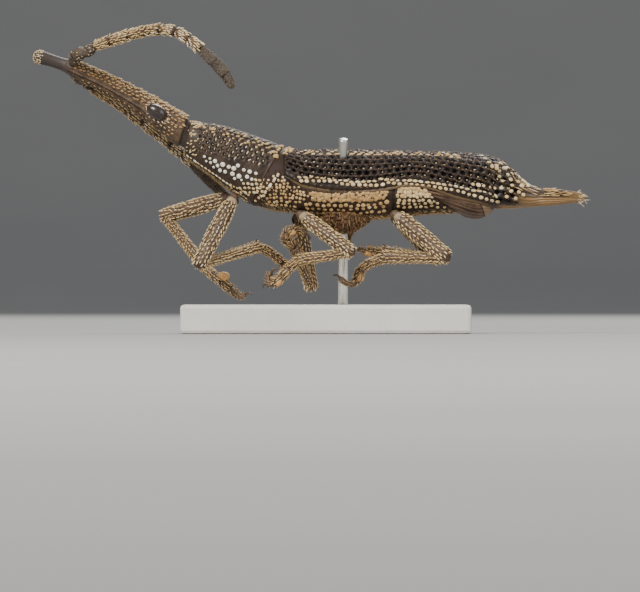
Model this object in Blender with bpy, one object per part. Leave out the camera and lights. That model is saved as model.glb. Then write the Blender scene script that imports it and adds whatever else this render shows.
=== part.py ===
"""Straight-snouted weevil on its mounting pin, at life size.

The head points to -X, the back to +Z and the beetle's left side to -Y. The sizes below are in
millimetres. Each finished mesh is scaled to metres when it gets its place. Z is 0 under the base.
"""
import math

import bmesh
import bpy
from mathutils import Matrix, Vector

MM = 0.001
GAP = 0.1
WELD = 0.0002

RING = 20
TUBE_RESOLUTION = 3

# Each row of a body section: top x, top z, bottom x, bottom z, half width
SNOUT_ROWS = (
    (-9.47, 9.75, -9.54, 9.52, 0.12),
    (-9.38, 9.82, -9.50, 9.42, 0.21),
    (-9.22, 9.81, -9.35, 9.35, 0.24),
    (-8.84, 9.67, -8.97, 9.26, 0.21),
    (-8.45, 9.55, -8.60, 9.13, 0.23),
    (-8.18, 9.49, -8.38, 9.00, 0.36),
    (-7.85, 9.38, -8.09, 8.84, 0.36),
    (-7.56, 9.27, -7.82, 8.70, 0.32),
    (-6.95, 9.01, -7.25, 8.42, 0.33),
    (-6.30, 8.70, -6.65, 8.05, 0.34),
    (-5.76, 8.43, -6.16, 7.73, 0.36),
)
HEAD_ROWS = (
    (-5.66, 8.38, -6.07, 7.68, 0.37),
    (-5.35, 8.21, -5.79, 7.47, 0.40),
    (-5.05, 8.04, -5.51, 7.25, 0.44),
    (-4.63, 7.80, -5.12, 6.95, 0.47),
    (-4.38, 7.63, -4.79, 6.68, 0.49),
    (-4.16, 7.47, -4.42, 6.35, 0.49),
)
PROTHORAX_ROWS = (
    (-4.08, 7.30, -4.30, 6.17, 0.54),
    (-3.91, 7.33, -4.10, 5.98, 0.64),
    (-3.59, 7.28, -3.77, 5.74, 0.75),
    (-2.97, 7.20, -3.28, 5.38, 0.90),
    (-2.45, 7.04, -2.86, 5.06, 1.01),
    (-1.68, 6.78, -2.38, 4.70, 1.02),
    (-1.20, 6.60, -2.17, 4.54, 0.99),
    (-0.95, 6.48, -2.04, 4.51, 0.94),
)
# The last value is the share of the height at which a section is widest
THORAX_ROWS = (
    (-0.86, 6.33, -1.93, 4.45, 0.94, 0.50),
    (-0.81, 6.21, -1.61, 4.40, 0.99, 0.50),
    (-0.78, 5.25, -1.13, 4.28, 1.09, 0.94),
    (-0.09, 4.94, -0.19, 4.16, 1.15, 0.94),
    (0.57, 4.84, 0.57, 4.06, 1.16, 0.94),
    (1.27, 4.82, 1.27, 4.00, 1.16, 0.94),
    (2.14, 4.82, 2.14, 3.99, 1.16, 0.94),
    (2.81, 4.91, 2.81, 4.02, 1.16, 0.94),
)
ABDOMEN_ROWS = (
    (2.92, 4.91, 2.92, 4.04, 1.16, 0.94),
    (3.56, 4.98, 3.56, 4.12, 1.15, 0.94),
    (4.05, 4.86, 4.57, 4.18, 1.15, 0.94),
    (4.36, 4.78, 5.16, 4.20, 1.11, 0.94),
)
VENTRITE_ROWS = (
    (4.54, 4.77, 5.34, 4.19, 1.09, 0.90),
    (4.98, 4.52, 5.61, 4.02, 1.04, 0.90),
    (5.61, 4.35, 5.92, 3.99, 0.94, 0.90),
    (6.02, 4.29, 6.16, 4.07, 0.76, 0.90),
    (6.23, 4.24, 6.30, 4.15, 0.49, 0.90),
)
# Wing case: x, top z, lower edge z, z of the whole body's underside, half width, inner edge
ELYTRON_ROWS = (
    (-0.69, 6.30, 5.36, 4.40, 1.06, 0.00),
    (-0.61, 6.35, 5.31, 4.33, 1.15, 0.00),
    (-0.09, 6.33, 5.06, 4.19, 1.18, 0.00),
    (1.09, 6.35, 4.94, 4.06, 1.18, 0.00),
    (2.31, 6.31, 4.96, 4.04, 1.20, 0.00),
    (3.56, 6.28, 5.10, 4.14, 1.20, 0.00),
    (4.39, 6.28, 4.92, 4.16, 1.20, 0.00),
    (5.09, 6.26, 4.66, 4.09, 1.19, 0.00),
    (6.02, 6.17, 4.45, 4.19, 1.16, 0.00),
    (6.51, 6.05, 4.32, 4.28, 1.13, 0.00),
    (6.82, 5.90, 4.30, 4.29, 1.11, 0.00),
    (7.17, 5.58, 4.32, 4.31, 1.08, 0.00),
    (7.52, 5.24, 4.37, 4.36, 1.06, 0.07),
    (7.80, 5.05, 4.40, 4.39, 1.08, 0.24),
)
ELYTRON_RIDGES = 10
RIDGE_HEIGHT = 0.05
PIT_DEPTH = 0.06
PIT_SPACING = 0.36
SUTURE_GAP = 0.1
LOWEST_SECTION_ANGLE = math.radians(70)
X_FIRST_PIT = -0.5
X_LAST_PIT = 7.0
# Tail spur: x, distance from the middle, z, half width, half height
SPUR_ROWS = (
    (6.82, 0.73, 4.85, 0.17, 0.26),
    (7.34, 0.85, 4.78, 0.21, 0.30),
    (7.83, 0.97, 4.73, 0.21, 0.31),
    (8.14, 1.00, 4.72, 0.20, 0.29),
    (8.66, 0.97, 4.72, 0.21, 0.26),
    (9.22, 0.87, 4.72, 0.17, 0.19),
    (9.50, 0.78, 4.70, 0.10, 0.10),
    (9.58, 0.75, 4.70, 0.04, 0.04),
)

EYE_CENTRE = (-5.28, 0.45, 7.65)
EYE_SEMI_AXES = (0.35, 0.23, 0.245)
EYE_TILT = math.radians(30.5)

PIN_TOP = (1.20, -0.92, 6.73)
PIN_LEAN = 0.3406
PIN_RADIUS = 0.17
PIN_CLEARANCE = 0.045
PIN_DEPTH = 0.55

BASE_LENGTH = 10.0
BASE_WIDTH = 7.0
BASE_HEIGHT = 1.0
BASE_CENTRE_X = 0.6
BASE_EDGE = 0.12

# Tissue drawn out round the pin under the thorax: x, z, radius
TISSUE_ROWS = (
    (1.27, 4.30, 0.80),
    (1.30, 3.92, 0.54),
    (1.30, 3.53, 0.38),
    (1.27, 3.24, 0.30),
)

LEG_RADIUS = 0.25
FOOT_RADIUS = 0.24
FOOT_TIP_RADIUS = 0.09
FOOT_WAIST = 0.86
CLAW_LENGTH = 0.24
CLAW_RADII = (0.06, 0.045, 0.015)
KNEE_REACH = 0.16
# Widths along the tibia as shares of its radius, and along the femur as (place, share)
TIBIA_WIDTHS = (0.55, 0.95, 0.92, 0.92, 1.0, 0.96)
FEMUR_WIDTHS = ((0.0, 0.62), (0.15, 0.78), (0.35, 0.97), (0.6, 1.0), (0.82, 0.94), (1.0, 0.88))
COXA_RADIUS = {"fore": 0.29, "mid": 0.28, "hind": 0.31}
FEMUR_RADIUS = {"fore": 0.27, "mid": 0.25, "hind": 0.295}

# Each leg: coxa, knee, end of the tibia, then the points of the foot
LEGS = {
    "left_fore": (
        (-2.52, -0.42, 4.85), (-3.77, -1.53, 2.39), (-1.75, 0.45, 3.01),
        ((-1.55, 0.60, 2.93), (-1.16, 0.87, 2.67), (-0.78, 1.32, 2.28), (-0.98, 1.62, 1.95),
         (-1.37, 1.88, 1.76)),
    ),
    "right_fore": (
        (-2.62, 0.42, 4.75), (-5.02, 2.05, 4.09), (-3.63, 0.35, 2.32),
        ((-3.45, 0.30, 2.15), (-3.00, 0.21, 1.78), (-2.62, 0.21, 1.47), (-2.38, 0.21, 1.28),
         (-2.20, 0.21, 1.36)),
    ),
    "left_mid": (
        (-0.40, -0.62, 4.22), (1.48, -1.22, 2.81), (-0.33, -0.38, 2.56),
        ((-0.48, -0.36, 2.44), (-0.82, -0.30, 2.12), (-1.10, -0.22, 1.86), (-1.34, -0.14, 1.70)),
    ),
    "right_mid": (
        (-0.40, 0.62, 4.22), (0.09, 1.91, 1.62), (-0.50, 0.04, 2.98),
        ((-0.62, 0.00, 3.08), (-0.80, -0.06, 3.28), (-0.66, -0.10, 3.55), (-0.30, -0.10, 3.60),
         (-0.08, -0.10, 3.45)),
    ),
    "left_hind": (
        (2.86, -0.72, 4.24), (4.77, -1.18, 2.63), (2.59, -0.38, 2.65),
        ((2.42, -0.30, 2.55), (2.07, -0.20, 2.35), (1.72, -0.12, 2.10), (1.55, -0.10, 1.76),
         (1.28, -0.12, 1.72)),
    ),
    "right_hind": (
        (2.86, 0.72, 4.24), (4.57, 1.10, 2.60), (2.59, 0.45, 2.81),
        ((2.40, 0.42, 2.82), (2.10, 0.34, 2.86), (1.88, 0.28, 2.90), (1.75, 0.24, 2.93)),
    ),
}

BODY_OVER_LEG = {
    "fore": (("prothorax_clearance", PROTHORAX_ROWS),),
    "mid": (("thorax_clearance", THORAX_ROWS),),
    "hind": (("thorax_clearance", THORAX_ROWS), ("abdomen_clearance", ABDOMEN_ROWS)),
}

# Antennae: points of the scape, then the long middle, then the club
ANTENNAE = {
    "left": (
        ((-8.18, -0.30, 9.30), (-8.02, -0.62, 9.55), (-7.80, -1.02, 9.72), (-7.52, -1.24, 9.86)),
        ((-7.40, -1.32, 9.93), (-6.90, -1.53, 10.09), (-6.20, -1.80, 10.30), (-5.50, -2.26, 10.45),
         (-4.98, -2.60, 10.47), (-4.53, -2.85, 10.37), (-4.05, -2.99, 10.08), (-3.77, -3.02, 9.85)),
        ((-3.62, -3.01, 9.72), (-3.35, -2.94, 9.45), (-3.03, -2.82, 9.12), (-2.72, -2.60, 8.69)),
    ),
    "right": (
        ((-8.18, 0.30, 9.20), (-8.02, 0.55, 8.98), (-7.84, 0.70, 8.80), (-7.62, 0.78, 8.62)),
        ((-7.50, 0.82, 8.54), (-7.20, 0.89, 8.34), (-6.58, 1.10, 7.96), (-5.90, 1.32, 7.44),
         (-5.21, 1.56, 6.90), (-4.52, 1.80, 6.33), (-4.10, 1.93, 5.98)),
        ((-3.99, 1.98, 5.87), (-3.70, 2.07, 5.60), (-3.43, 2.17, 5.33), (-2.91, 2.34, 4.78)),
    ),
}
ANTENNA_RADIUS = 0.25
ANTENNA_JOINT_WIDTH = 0.93
SCAPE_RADII = (0.20, 0.25, 0.23, 0.24)
CLUB_RADII = (0.24, 0.25, 0.24, 0.13)


def principled(name, colour, roughness, metallic=0.0):
    """A plain material with the part's colour and finish"""
    material = bpy.data.materials.new(name)
    material.use_nodes = True
    shader = material.node_tree.nodes["Principled BSDF"]
    shader.inputs["Base Color"].default_value = (*colour, 1.0)
    shader.inputs["Roughness"].default_value = roughness
    shader.inputs["Metallic"].default_value = metallic
    return material


def smooth_rows(rows, spans):
    """Rows of numbers along a curve through the given rows, with that many spans between two"""
    result = []
    last = len(rows) - 1
    for index in range(last):
        before = rows[max(index - 1, 0)]
        start = rows[index]
        end = rows[index + 1]
        after = rows[min(index + 2, last)]
        for span in range(spans):
            t = span / spans
            result.append(tuple(
                0.5 * (2 * b + (c - a) * t + (2 * a - 5 * b + 4 * c - d) * t ** 2
                       + (3 * b - a - 3 * c + d) * t ** 3)
                for a, b, c, d in zip(before, start, end, after)
            ))
    result.append(tuple(rows[last]))
    return result


def signed_power(value, power):
    return math.copysign(abs(value) ** power, value)


def body_ring(row, grow=0.0, count=RING, squareness=0.88):
    """Rounded ring that stands between a top and a bottom point of the side view"""
    top = Vector((row[0], 0, row[1]))
    bottom = Vector((row[2], 0, row[3]))
    waist = row[5] if len(row) > 5 else 0.5
    up = (top - bottom).normalized()
    height = (top - bottom).length
    middle = bottom + up * height * waist
    points = []
    for index in range(count):
        angle = math.tau * index / count
        rise = signed_power(math.sin(angle), squareness)
        reach = (height * (1 - waist) if rise > 0 else height * waist) + grow
        across = signed_power(math.cos(angle), squareness) * (row[4] + grow)
        points.append(middle + up * rise * reach + Vector((0, across, 0)))
    return points


def mesh_object(name, bm):
    mesh = bpy.data.meshes.new(name)
    bm.to_mesh(mesh)
    bm.free()
    piece = bpy.data.objects.new(name, mesh)
    bpy.context.scene.collection.objects.link(piece)
    return piece


def loft(name, rings):
    """Closed mesh through rings that all have the same number of points"""
    bm = bmesh.new()
    loops = [[bm.verts.new(point) for point in ring] for ring in rings]
    for first, second in zip(loops, loops[1:]):
        for index, vertex in enumerate(first):
            following = (index + 1) % len(first)
            bm.faces.new((vertex, first[following], second[following], second[index]))
    bm.faces.new(loops[0])
    bm.faces.new(loops[-1])
    bmesh.ops.triangulate(bm, faces=bm.faces)
    bmesh.ops.recalc_face_normals(bm, faces=bm.faces)
    return mesh_object(name, bm)


def body_loft(name, rows, grow=0.0, spans=1):
    return loft(name, [body_ring(row, grow) for row in smooth_rows(rows, spans)])


def tube(name, points, radii, spans=3):
    """Round tube along a smooth path, with its own radius at each given point"""
    rows = smooth_rows([(*point, radius) for point, radius in zip(points, radii)], spans)
    curve = bpy.data.curves.new(name, "CURVE")
    curve.dimensions = "3D"
    curve.bevel_depth = 1.0
    curve.bevel_resolution = TUBE_RESOLUTION
    curve.use_fill_caps = True
    spline = curve.splines.new("POLY")
    spline.points.add(len(rows) - 1)
    for point, row in zip(spline.points, rows):
        point.co = (*row[:3], 1.0)
        point.radius = row[3]
    source = bpy.data.objects.new(name, curve)
    bpy.context.scene.collection.objects.link(source)
    bpy.context.view_layer.update()
    evaluated = source.evaluated_get(bpy.context.evaluated_depsgraph_get())
    bm = bmesh.new()
    bm.from_mesh(bpy.data.meshes.new_from_object(evaluated))
    bpy.data.objects.remove(source)
    bmesh.ops.remove_doubles(bm, verts=bm.verts, dist=WELD)
    bmesh.ops.triangulate(bm, faces=bm.faces)
    bmesh.ops.recalc_face_normals(bm, faces=bm.faces)
    return mesh_object(name, bm)


def ball(name, centre, semi_axes, tilt=0.0, segments=16, rings=10):
    """Ellipsoid, turned about the Y axis"""
    bm = bmesh.new()
    bmesh.ops.create_uvsphere(bm, u_segments=segments, v_segments=rings, radius=1.0)
    place = Matrix.Translation(centre) @ Matrix.Rotation(tilt, 4, "Y")
    bm.transform(place @ Matrix.Diagonal((*semi_axes, 1.0)))
    bmesh.ops.triangulate(bm, faces=bm.faces)
    return mesh_object(name, bm)


def solve(piece, others, operation):
    """Join the other pieces to this one, or cut them out of it, and remove them"""
    group = bpy.data.collections.new("operands")
    bpy.context.scene.collection.children.link(group)
    for other in others:
        group.objects.link(other)
    change = piece.modifiers.new("solve", "BOOLEAN")
    change.operation = operation
    change.operand_type = "COLLECTION"
    change.collection = group
    change.solver = "EXACT"
    bpy.context.view_layer.update()
    evaluated = piece.evaluated_get(bpy.context.evaluated_depsgraph_get())
    bm = bmesh.new()
    bm.from_mesh(bpy.data.meshes.new_from_object(evaluated))
    piece.modifiers.clear()
    for other in others:
        bpy.data.objects.remove(other)
    bpy.data.collections.remove(group)
    bmesh.ops.remove_doubles(bm, verts=bm.verts, dist=WELD)
    bmesh.ops.triangulate(bm, faces=bm.faces)
    keep_largest(bm)
    bm.to_mesh(piece.data)
    bm.free()
    return piece


def fuse(piece, others):
    return solve(piece, others, "UNION")


def cut_clear(piece, cutters):
    return solve(piece, cutters, "DIFFERENCE")


def keep_largest(bm):
    """Leave only the connected surface with the most area"""
    unseen = set(bm.verts)
    shells = []
    while unseen:
        stack = [unseen.pop()]
        shell = set(stack)
        while stack:
            vertex = stack.pop()
            for edge in vertex.link_edges:
                other = edge.other_vert(vertex)
                if other in unseen:
                    unseen.discard(other)
                    shell.add(other)
                    stack.append(other)
        area = sum(face.calc_area() for vertex in shell for face in vertex.link_faces)
        shells.append((area, shell))
    shells.sort(key=lambda item: item[0])
    loose = [vertex for area, shell in shells[:-1] for vertex in shell]
    bmesh.ops.delete(bm, geom=loose, context="VERTS")


def finish(piece, name, origin, material, parent):
    """Name the piece, move its origin to its root, and scale its mesh to metres"""
    centre = Vector(origin)
    piece.name = name
    piece.data.name = name
    piece.data.transform(Matrix.Scale(MM, 4) @ Matrix.Translation(-centre))
    piece.location = centre * MM
    piece.data.materials.clear()
    piece.data.materials.append(material)
    piece.data.shade_smooth()
    piece.data.set_sharp_from_angle(angle=math.radians(40))
    for owner in list(piece.users_collection):
        owner.objects.unlink(piece)
    specimen_parts.objects.link(piece)
    piece.parent = parent
    return piece


def pin_point(z):
    """Point of the leaning pin's axis at a height"""
    return Vector((PIN_TOP[0], PIN_TOP[1] + (PIN_TOP[2] - z) * PIN_LEAN, z))


def pin_tube(name, grow, low, high):
    ends = (pin_point(high), pin_point(low))
    return tube(name, ends, (PIN_RADIUS + grow,) * 2, spans=1)


def eye_ball(side, grow=0.0):
    centre = (EYE_CENTRE[0], side * EYE_CENTRE[1], EYE_CENTRE[2])
    semi_axes = [axis + grow for axis in EYE_SEMI_AXES]
    return ball("eye", centre, semi_axes, EYE_TILT)


def coxa_ball(leg, grow=0.0):
    coxa = LEGS[leg][0]
    radius = COXA_RADIUS[leg.split("_")[1]] + grow
    return ball("coxa", coxa, (radius, radius, radius), segments=14, rings=8)


def femur_tube(leg, grow=0.0):
    coxa, knee = (Vector(point) for point in LEGS[leg][:2])
    radius = FEMUR_RADIUS[leg.split("_")[1]]
    points = [coxa.lerp(knee, share) for share, width in FEMUR_WIDTHS]
    return tube("femur", points, [radius * width + grow for share, width in FEMUR_WIDTHS], 1)


def tibia_tube(leg, grow=0.0):
    knee = Vector(LEGS[leg][1])
    end = Vector(LEGS[leg][2])
    back = (knee - end).normalized()
    points = [knee + back * (KNEE_REACH + grow), knee + back * KNEE_REACH / 3,
              knee.lerp(end, 0.12), knee.lerp(end, 0.5), knee.lerp(end, 0.9), end - back * grow]
    return tube("tibia", points, [LEG_RADIUS * width + grow for width in TIBIA_WIDTHS], 1)


def foot_piece(leg):
    """Foot of swollen segments that end in two small hooked claws"""
    points = [Vector(point) for point in LEGS[leg][3]]
    path = smooth_rows(points, 3)
    radii = []
    for index in range(len(path)):
        share = index / (len(path) - 1)
        swelling = 1.0 if index % 3 == 1 else FOOT_WAIST
        radii.append((FOOT_RADIUS * (1 - share) + FOOT_TIP_RADIUS * share) * swelling)
    foot = tube("foot", path, radii, spans=1)
    tip = points[-1]
    ahead = (Vector(path[-1]) - Vector(path[-3])).normalized()
    aside = ahead.cross(Vector((0, 0, 1))).normalized()
    below = aside.cross(ahead).normalized()
    for side in (-1, 1):
        bend = tip + (ahead + aside * side * 0.5) * CLAW_LENGTH * 0.5
        point = tip + (ahead * 0.8 + aside * side * 0.9 - below * 0.4) * CLAW_LENGTH
        fuse(foot, [tube("claw", (tip - ahead * 0.05, bend, point), CLAW_RADII, 2)])
    return foot


def elytron_rows():
    """Sections of the wing case: a wall and a pit in turn along its length"""
    fine = smooth_rows(ELYTRON_ROWS, 8)
    length = fine[-1][0] - fine[0][0]
    count = 2 * round(length / PIT_SPACING)
    rows = []
    for index in range(count + 1):
        x = fine[0][0] + length * index / count
        after = next(place for place, row in enumerate(fine) if row[0] >= x - 1e-6)
        before = max(after - 1, 0)
        span = fine[after][0] - fine[before][0]
        share = (x - fine[before][0]) / span if span else 0.0
        rows.append(tuple(a + (b - a) * share for a, b in zip(fine[before], fine[after])))
    return rows


def elytron_ring(row, side, pitted):
    """Section of one wing case, with raised ridges, from its lower edge up to the suture"""
    x, top, lower, underside, half_width, inner = row
    centre = (top + underside) / 2
    half_height = (top - underside) / 2
    squareness = 0.82
    drop = max(min((centre - lower) / half_height, 1.0), -1.0)
    start = -min(math.asin(signed_power(drop, 1 / squareness)), LOWEST_SECTION_ANGLE)
    steps = 2 * ELYTRON_RIDGES
    inner_edge = inner + SUTURE_GAP / 2
    points = []
    for index in range(steps + 1):
        angle = start + (math.pi / 2 - start) * index / steps
        relief = RIDGE_HEIGHT if index % 2 else 0.0
        if pitted and index % 2 == 0 and 0 < index < steps:
            relief = -PIT_DEPTH
        reach = half_width - inner_edge + relief
        across = inner_edge + max(math.cos(angle), 0.0) ** squareness * reach
        rise = signed_power(math.sin(angle), squareness) * (half_height + relief * 0.6)
        points.append(Vector((x, side * across, centre + rise)))
    points.append(Vector((x, side * inner_edge, points[0].z)))
    return points


def spur_ring(row, side, count=12):
    x, across, z, half_width, half_height = row
    return [
        Vector((x, side * across + math.cos(math.tau * index / count) * half_width,
                z + math.sin(math.tau * index / count) * half_height))
        for index in range(count)
    ]


for old in list(bpy.data.objects):
    bpy.data.objects.remove(old)

specimen_parts = bpy.data.collections.new("straight_snouted_weevil")
bpy.context.scene.collection.children.link(specimen_parts)

specimen = bpy.data.objects.new("specimen", None)
specimen_parts.objects.link(specimen)

brown = principled("brown_cuticle", (0.11, 0.07, 0.045), 0.55)
dark = principled("dark_wing_case", (0.055, 0.04, 0.035), 0.5)
chestnut = principled("smooth_ventrite", (0.16, 0.09, 0.05), 0.35)
tan = principled("pale_scaled_antenna", (0.42, 0.33, 0.22), 0.7)
grey = principled("velvety_club", (0.22, 0.19, 0.16), 0.8)
leg_brown = principled("scaled_leg", (0.24, 0.17, 0.11), 0.6)
glossy = principled("glossy_eye", (0.03, 0.027, 0.025), 0.12)
steel = principled("pin_steel", (0.62, 0.62, 0.6), 0.35, 1.0)
card = principled("pale_base", (0.8, 0.79, 0.75), 0.6)

# Snout and head, one long cone in life, parted in front of the eyes
snout = body_loft("snout", SNOUT_ROWS)
finish(snout, "snout", (-5.96, 0, 8.08), brown, specimen)

head = body_loft("head", HEAD_ROWS)
cut_clear(head, [eye_ball(-1, GAP), eye_ball(1, GAP)])
finish(head, "head", (-4.29, 0, 6.91), brown, specimen)

for side, word in ((-1, "left"), (1, "right")):
    centre = (EYE_CENTRE[0], side * EYE_CENTRE[1], EYE_CENTRE[2])
    finish(eye_ball(side), f"{word}_eye", centre, glossy, specimen)

# Trunk: the prothorax, the hind thorax with the tissue on the pin, and the abdomen
prothorax = body_loft("prothorax", PROTHORAX_ROWS)
cut_clear(prothorax, [coxa_ball("left_fore", GAP), coxa_ball("right_fore", GAP)])
finish(prothorax, "prothorax", (-1.5, 0, 5.5), brown, specimen)

thorax = body_loft("thorax", THORAX_ROWS)
tissue_points = [(x, pin_point(z).y, z) for x, z, radius in TISSUE_ROWS]
tissue = tube("tissue", tissue_points, [row[2] for row in TISSUE_ROWS], spans=2)
fuse(thorax, [tissue])
cut_clear(thorax, [pin_tube("pin_hole", PIN_CLEARANCE, 2.6, 7.2)])
cut_clear(thorax, [coxa_ball(leg, GAP) for leg in LEGS if not leg.endswith("fore")])
finish(thorax, "thorax", (1.0, 0, 4.5), brown, specimen)

abdomen = body_loft("abdomen", ABDOMEN_ROWS)
cut_clear(abdomen, [coxa_ball("left_hind", GAP), coxa_ball("right_hind", GAP)])
finish(abdomen, "abdomen", (2.9, 0, 4.5), brown, specimen)

ventrite = body_loft("last_ventrite", VENTRITE_ROWS)
finish(ventrite, "last_ventrite", (4.9, 0, 4.4), chestnut, specimen)

# Wing cases, each with its tail spur
for side, word in ((-1, "left"), (1, "right")):
    rings = [
        elytron_ring(row, side, index % 2 == 1 and X_FIRST_PIT < row[0] < X_LAST_PIT)
        for index, row in enumerate(elytron_rows())
    ]
    elytron = loft("elytron", rings)
    spur = loft("spur", [spur_ring(row, side) for row in smooth_rows(SPUR_ROWS, 2)])
    fuse(elytron, [spur])
    if side < 0:
        cut_clear(elytron, [pin_tube("pin_hole", PIN_CLEARANCE, 2.6, 7.2)])
    finish(elytron, f"{word}_elytron", (-0.6, side * 0.6, 5.8), dark, specimen)

# Antennae
for word, (scape, middle, club) in ANTENNAE.items():
    scape_piece = tube("scape", scape, SCAPE_RADII)
    cut_clear(scape_piece, [body_loft("snout_clearance", SNOUT_ROWS, GAP)])
    finish(scape_piece, f"{word}_antenna_scape", scape[0], brown, specimen)
    beads = [
        ANTENNA_RADIUS * (ANTENNA_JOINT_WIDTH if index % 2 else 1.0)
        for index in range(len(middle))
    ]
    finish(tube("middle", middle, beads), f"{word}_antenna", middle[0], tan, specimen)
    finish(tube("club", club, CLUB_RADII), f"{word}_antenna_club", club[0], grey, specimen)

# Legs
for leg in LEGS:
    coxa, knee, tibia_end = LEGS[leg][:3]
    finish(coxa_ball(leg), f"{leg}_coxa", coxa, leg_brown, specimen)
    femur = femur_tube(leg)
    for name, rows in BODY_OVER_LEG[leg.split("_")[1]]:
        cut_clear(femur, [body_loft(name, rows, GAP)])
    cut_clear(femur, [coxa_ball(leg, GAP)])
    cut_clear(femur, [tibia_tube(leg, GAP)])
    finish(femur, f"{leg}_femur", coxa, leg_brown, specimen)
    finish(tibia_tube(leg), f"{leg}_tibia", knee, leg_brown, specimen)
    foot = foot_piece(leg)
    cut_clear(foot, [tibia_tube(leg, GAP)])
    finish(foot, f"{leg}_foot", tibia_end, leg_brown, specimen)

# The pin, sunk in a thin base
pin_low = BASE_HEIGHT - PIN_DEPTH + 0.1
finish(pin_tube("pin", 0.0, pin_low, PIN_TOP[2]), "pin", pin_point(BASE_HEIGHT), steel, specimen)

bm = bmesh.new()
bmesh.ops.create_cube(bm, size=1.0)
bm.transform(
    Matrix.Translation((BASE_CENTRE_X, 0, BASE_HEIGHT / 2))
    @ Matrix.Diagonal((BASE_LENGTH, BASE_WIDTH, BASE_HEIGHT, 1.0))
)
bmesh.ops.bevel(
    bm, geom=list(bm.edges), offset=BASE_EDGE, segments=2, profile=0.5, affect="EDGES"
)
bmesh.ops.triangulate(bm, faces=bm.faces)
base = mesh_object("stand_base", bm)
cut_clear(base, [pin_tube("pin_socket", PIN_CLEARANCE, BASE_HEIGHT - PIN_DEPTH, 3.0)])
finish(base, "stand_base", (BASE_CENTRE_X, 0, 0), card, specimen)
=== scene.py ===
import math

import bpy
import numpy as np
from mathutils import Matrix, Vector


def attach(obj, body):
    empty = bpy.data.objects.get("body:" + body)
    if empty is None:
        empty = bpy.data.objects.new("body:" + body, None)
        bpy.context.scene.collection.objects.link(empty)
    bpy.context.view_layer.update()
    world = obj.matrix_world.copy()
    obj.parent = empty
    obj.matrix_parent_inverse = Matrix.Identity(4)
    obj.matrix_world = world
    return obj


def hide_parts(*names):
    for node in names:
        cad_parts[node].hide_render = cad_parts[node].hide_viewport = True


# Straight-snouted weevil on its pin. Sizes are in millimetres unless a name says otherwise, and
# become metres where a mesh is made. The head points to -X, the back to +Z, and its left to -Y.
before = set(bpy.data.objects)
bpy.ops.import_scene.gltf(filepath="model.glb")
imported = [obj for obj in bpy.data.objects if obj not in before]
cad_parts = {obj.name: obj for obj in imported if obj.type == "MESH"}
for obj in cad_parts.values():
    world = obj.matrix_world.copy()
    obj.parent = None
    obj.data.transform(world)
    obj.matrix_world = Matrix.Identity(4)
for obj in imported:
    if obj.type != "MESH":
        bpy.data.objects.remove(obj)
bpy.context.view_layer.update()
rng = np.random.default_rng(41)

# The studio
# A pale dish with a soft rim that serves as the floor and its background, lit by wide soft lamps.
# The camera is level with the top of the base and looks at the beetle's left side.
# Sizes and places here are in metres. Each lamp has a name, a place, a size, a power and a colour.
FLOOR_RADIUS = 0.38
RIM_SIZE = 0.16
RIM_STEPS = 20
CAMERA_PLACE = (0.0004, -0.3085, 0.0013)
CAMERA_LENS = 500
LAMP_TARGET = (0, 0, 0.005)
LAMPS = (
    ("key_lamp", (-0.11, -0.20, 0.19), 0.11, 1.2, (1.0, 0.96, 0.91)),
    ("fill_lamp", (0.20, -0.15, 0.10), 0.16, 0.3, (0.93, 0.96, 1.0)),
    ("back_lamp", (0.05, 0.20, 0.20), 0.14, 0.7, (1.0, 0.98, 0.95)),
)

bpy.ops.object.select_all(action="DESELECT")
bpy.ops.mesh.primitive_circle_add(
    vertices=160, radius=FLOOR_RADIUS + RIM_SIZE, location=(0, 0, RIM_SIZE)
)
dish = bpy.context.object
dish.name = "studio_dish"
bpy.ops.object.transform_apply(location=True, rotation=True, scale=True)
bpy.ops.object.mode_set(mode="EDIT")
bpy.ops.mesh.select_all(action="SELECT")
radius, height = FLOOR_RADIUS + RIM_SIZE, RIM_SIZE
for step in range(1, RIM_STEPS + 1):
    turn = math.pi / 2 * step / RIM_STEPS
    next_radius = FLOOR_RADIUS + RIM_SIZE * math.cos(turn)
    next_height = RIM_SIZE * (1 - math.sin(turn))
    drop = next_height - height
    bpy.ops.mesh.extrude_edges_move(TRANSFORM_OT_translate={"value": (0, 0, drop)})
    shrink = next_radius / radius
    bpy.ops.transform.resize(value=(shrink, shrink, 1), center_override=(0, 0, next_height))
    radius, height = next_radius, next_height
bpy.ops.mesh.edge_face_add()
bpy.ops.mesh.select_all(action="SELECT")
bpy.ops.mesh.normals_make_consistent(inside=False)
bpy.ops.object.mode_set(mode="OBJECT")
bpy.ops.object.shade_smooth()


def new_paint(name, values):
    """New material, its node tree and its shader, with values on the shader's sockets"""
    material = bpy.data.materials.new(name)
    material.use_nodes = True
    tree = material.node_tree
    shader = tree.nodes["Principled BSDF"]
    for socket, value in values.items():
        shader.inputs[socket].default_value = value
    return material, tree, shader


def add_node(tree, kind, **values):
    """New node with values on its sockets, whose names have _ for a space"""
    node = tree.nodes.new(kind)
    for socket, value in values.items():
        node.inputs[socket.replace("_", " ")].default_value = value
    return node


def add_tones(tree, *tones):
    """New colour ramp with the tones at even steps"""
    node = tree.nodes.new("ShaderNodeValToRGB")
    stops = node.color_ramp.elements
    stops[0].color = (*tones[0], 1)
    stops[1].color = (*tones[-1], 1)
    for index, tone in enumerate(tones[1:-1], 1):
        stops.new(index / (len(tones) - 1)).color = (*tone, 1)
    return node


def wire(tree, *wires):
    """Links, each from a node's output to another node's input"""
    for start, output, end, socket in wires:
        tree.links.new(start.outputs[output], end.inputs[socket])


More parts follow.
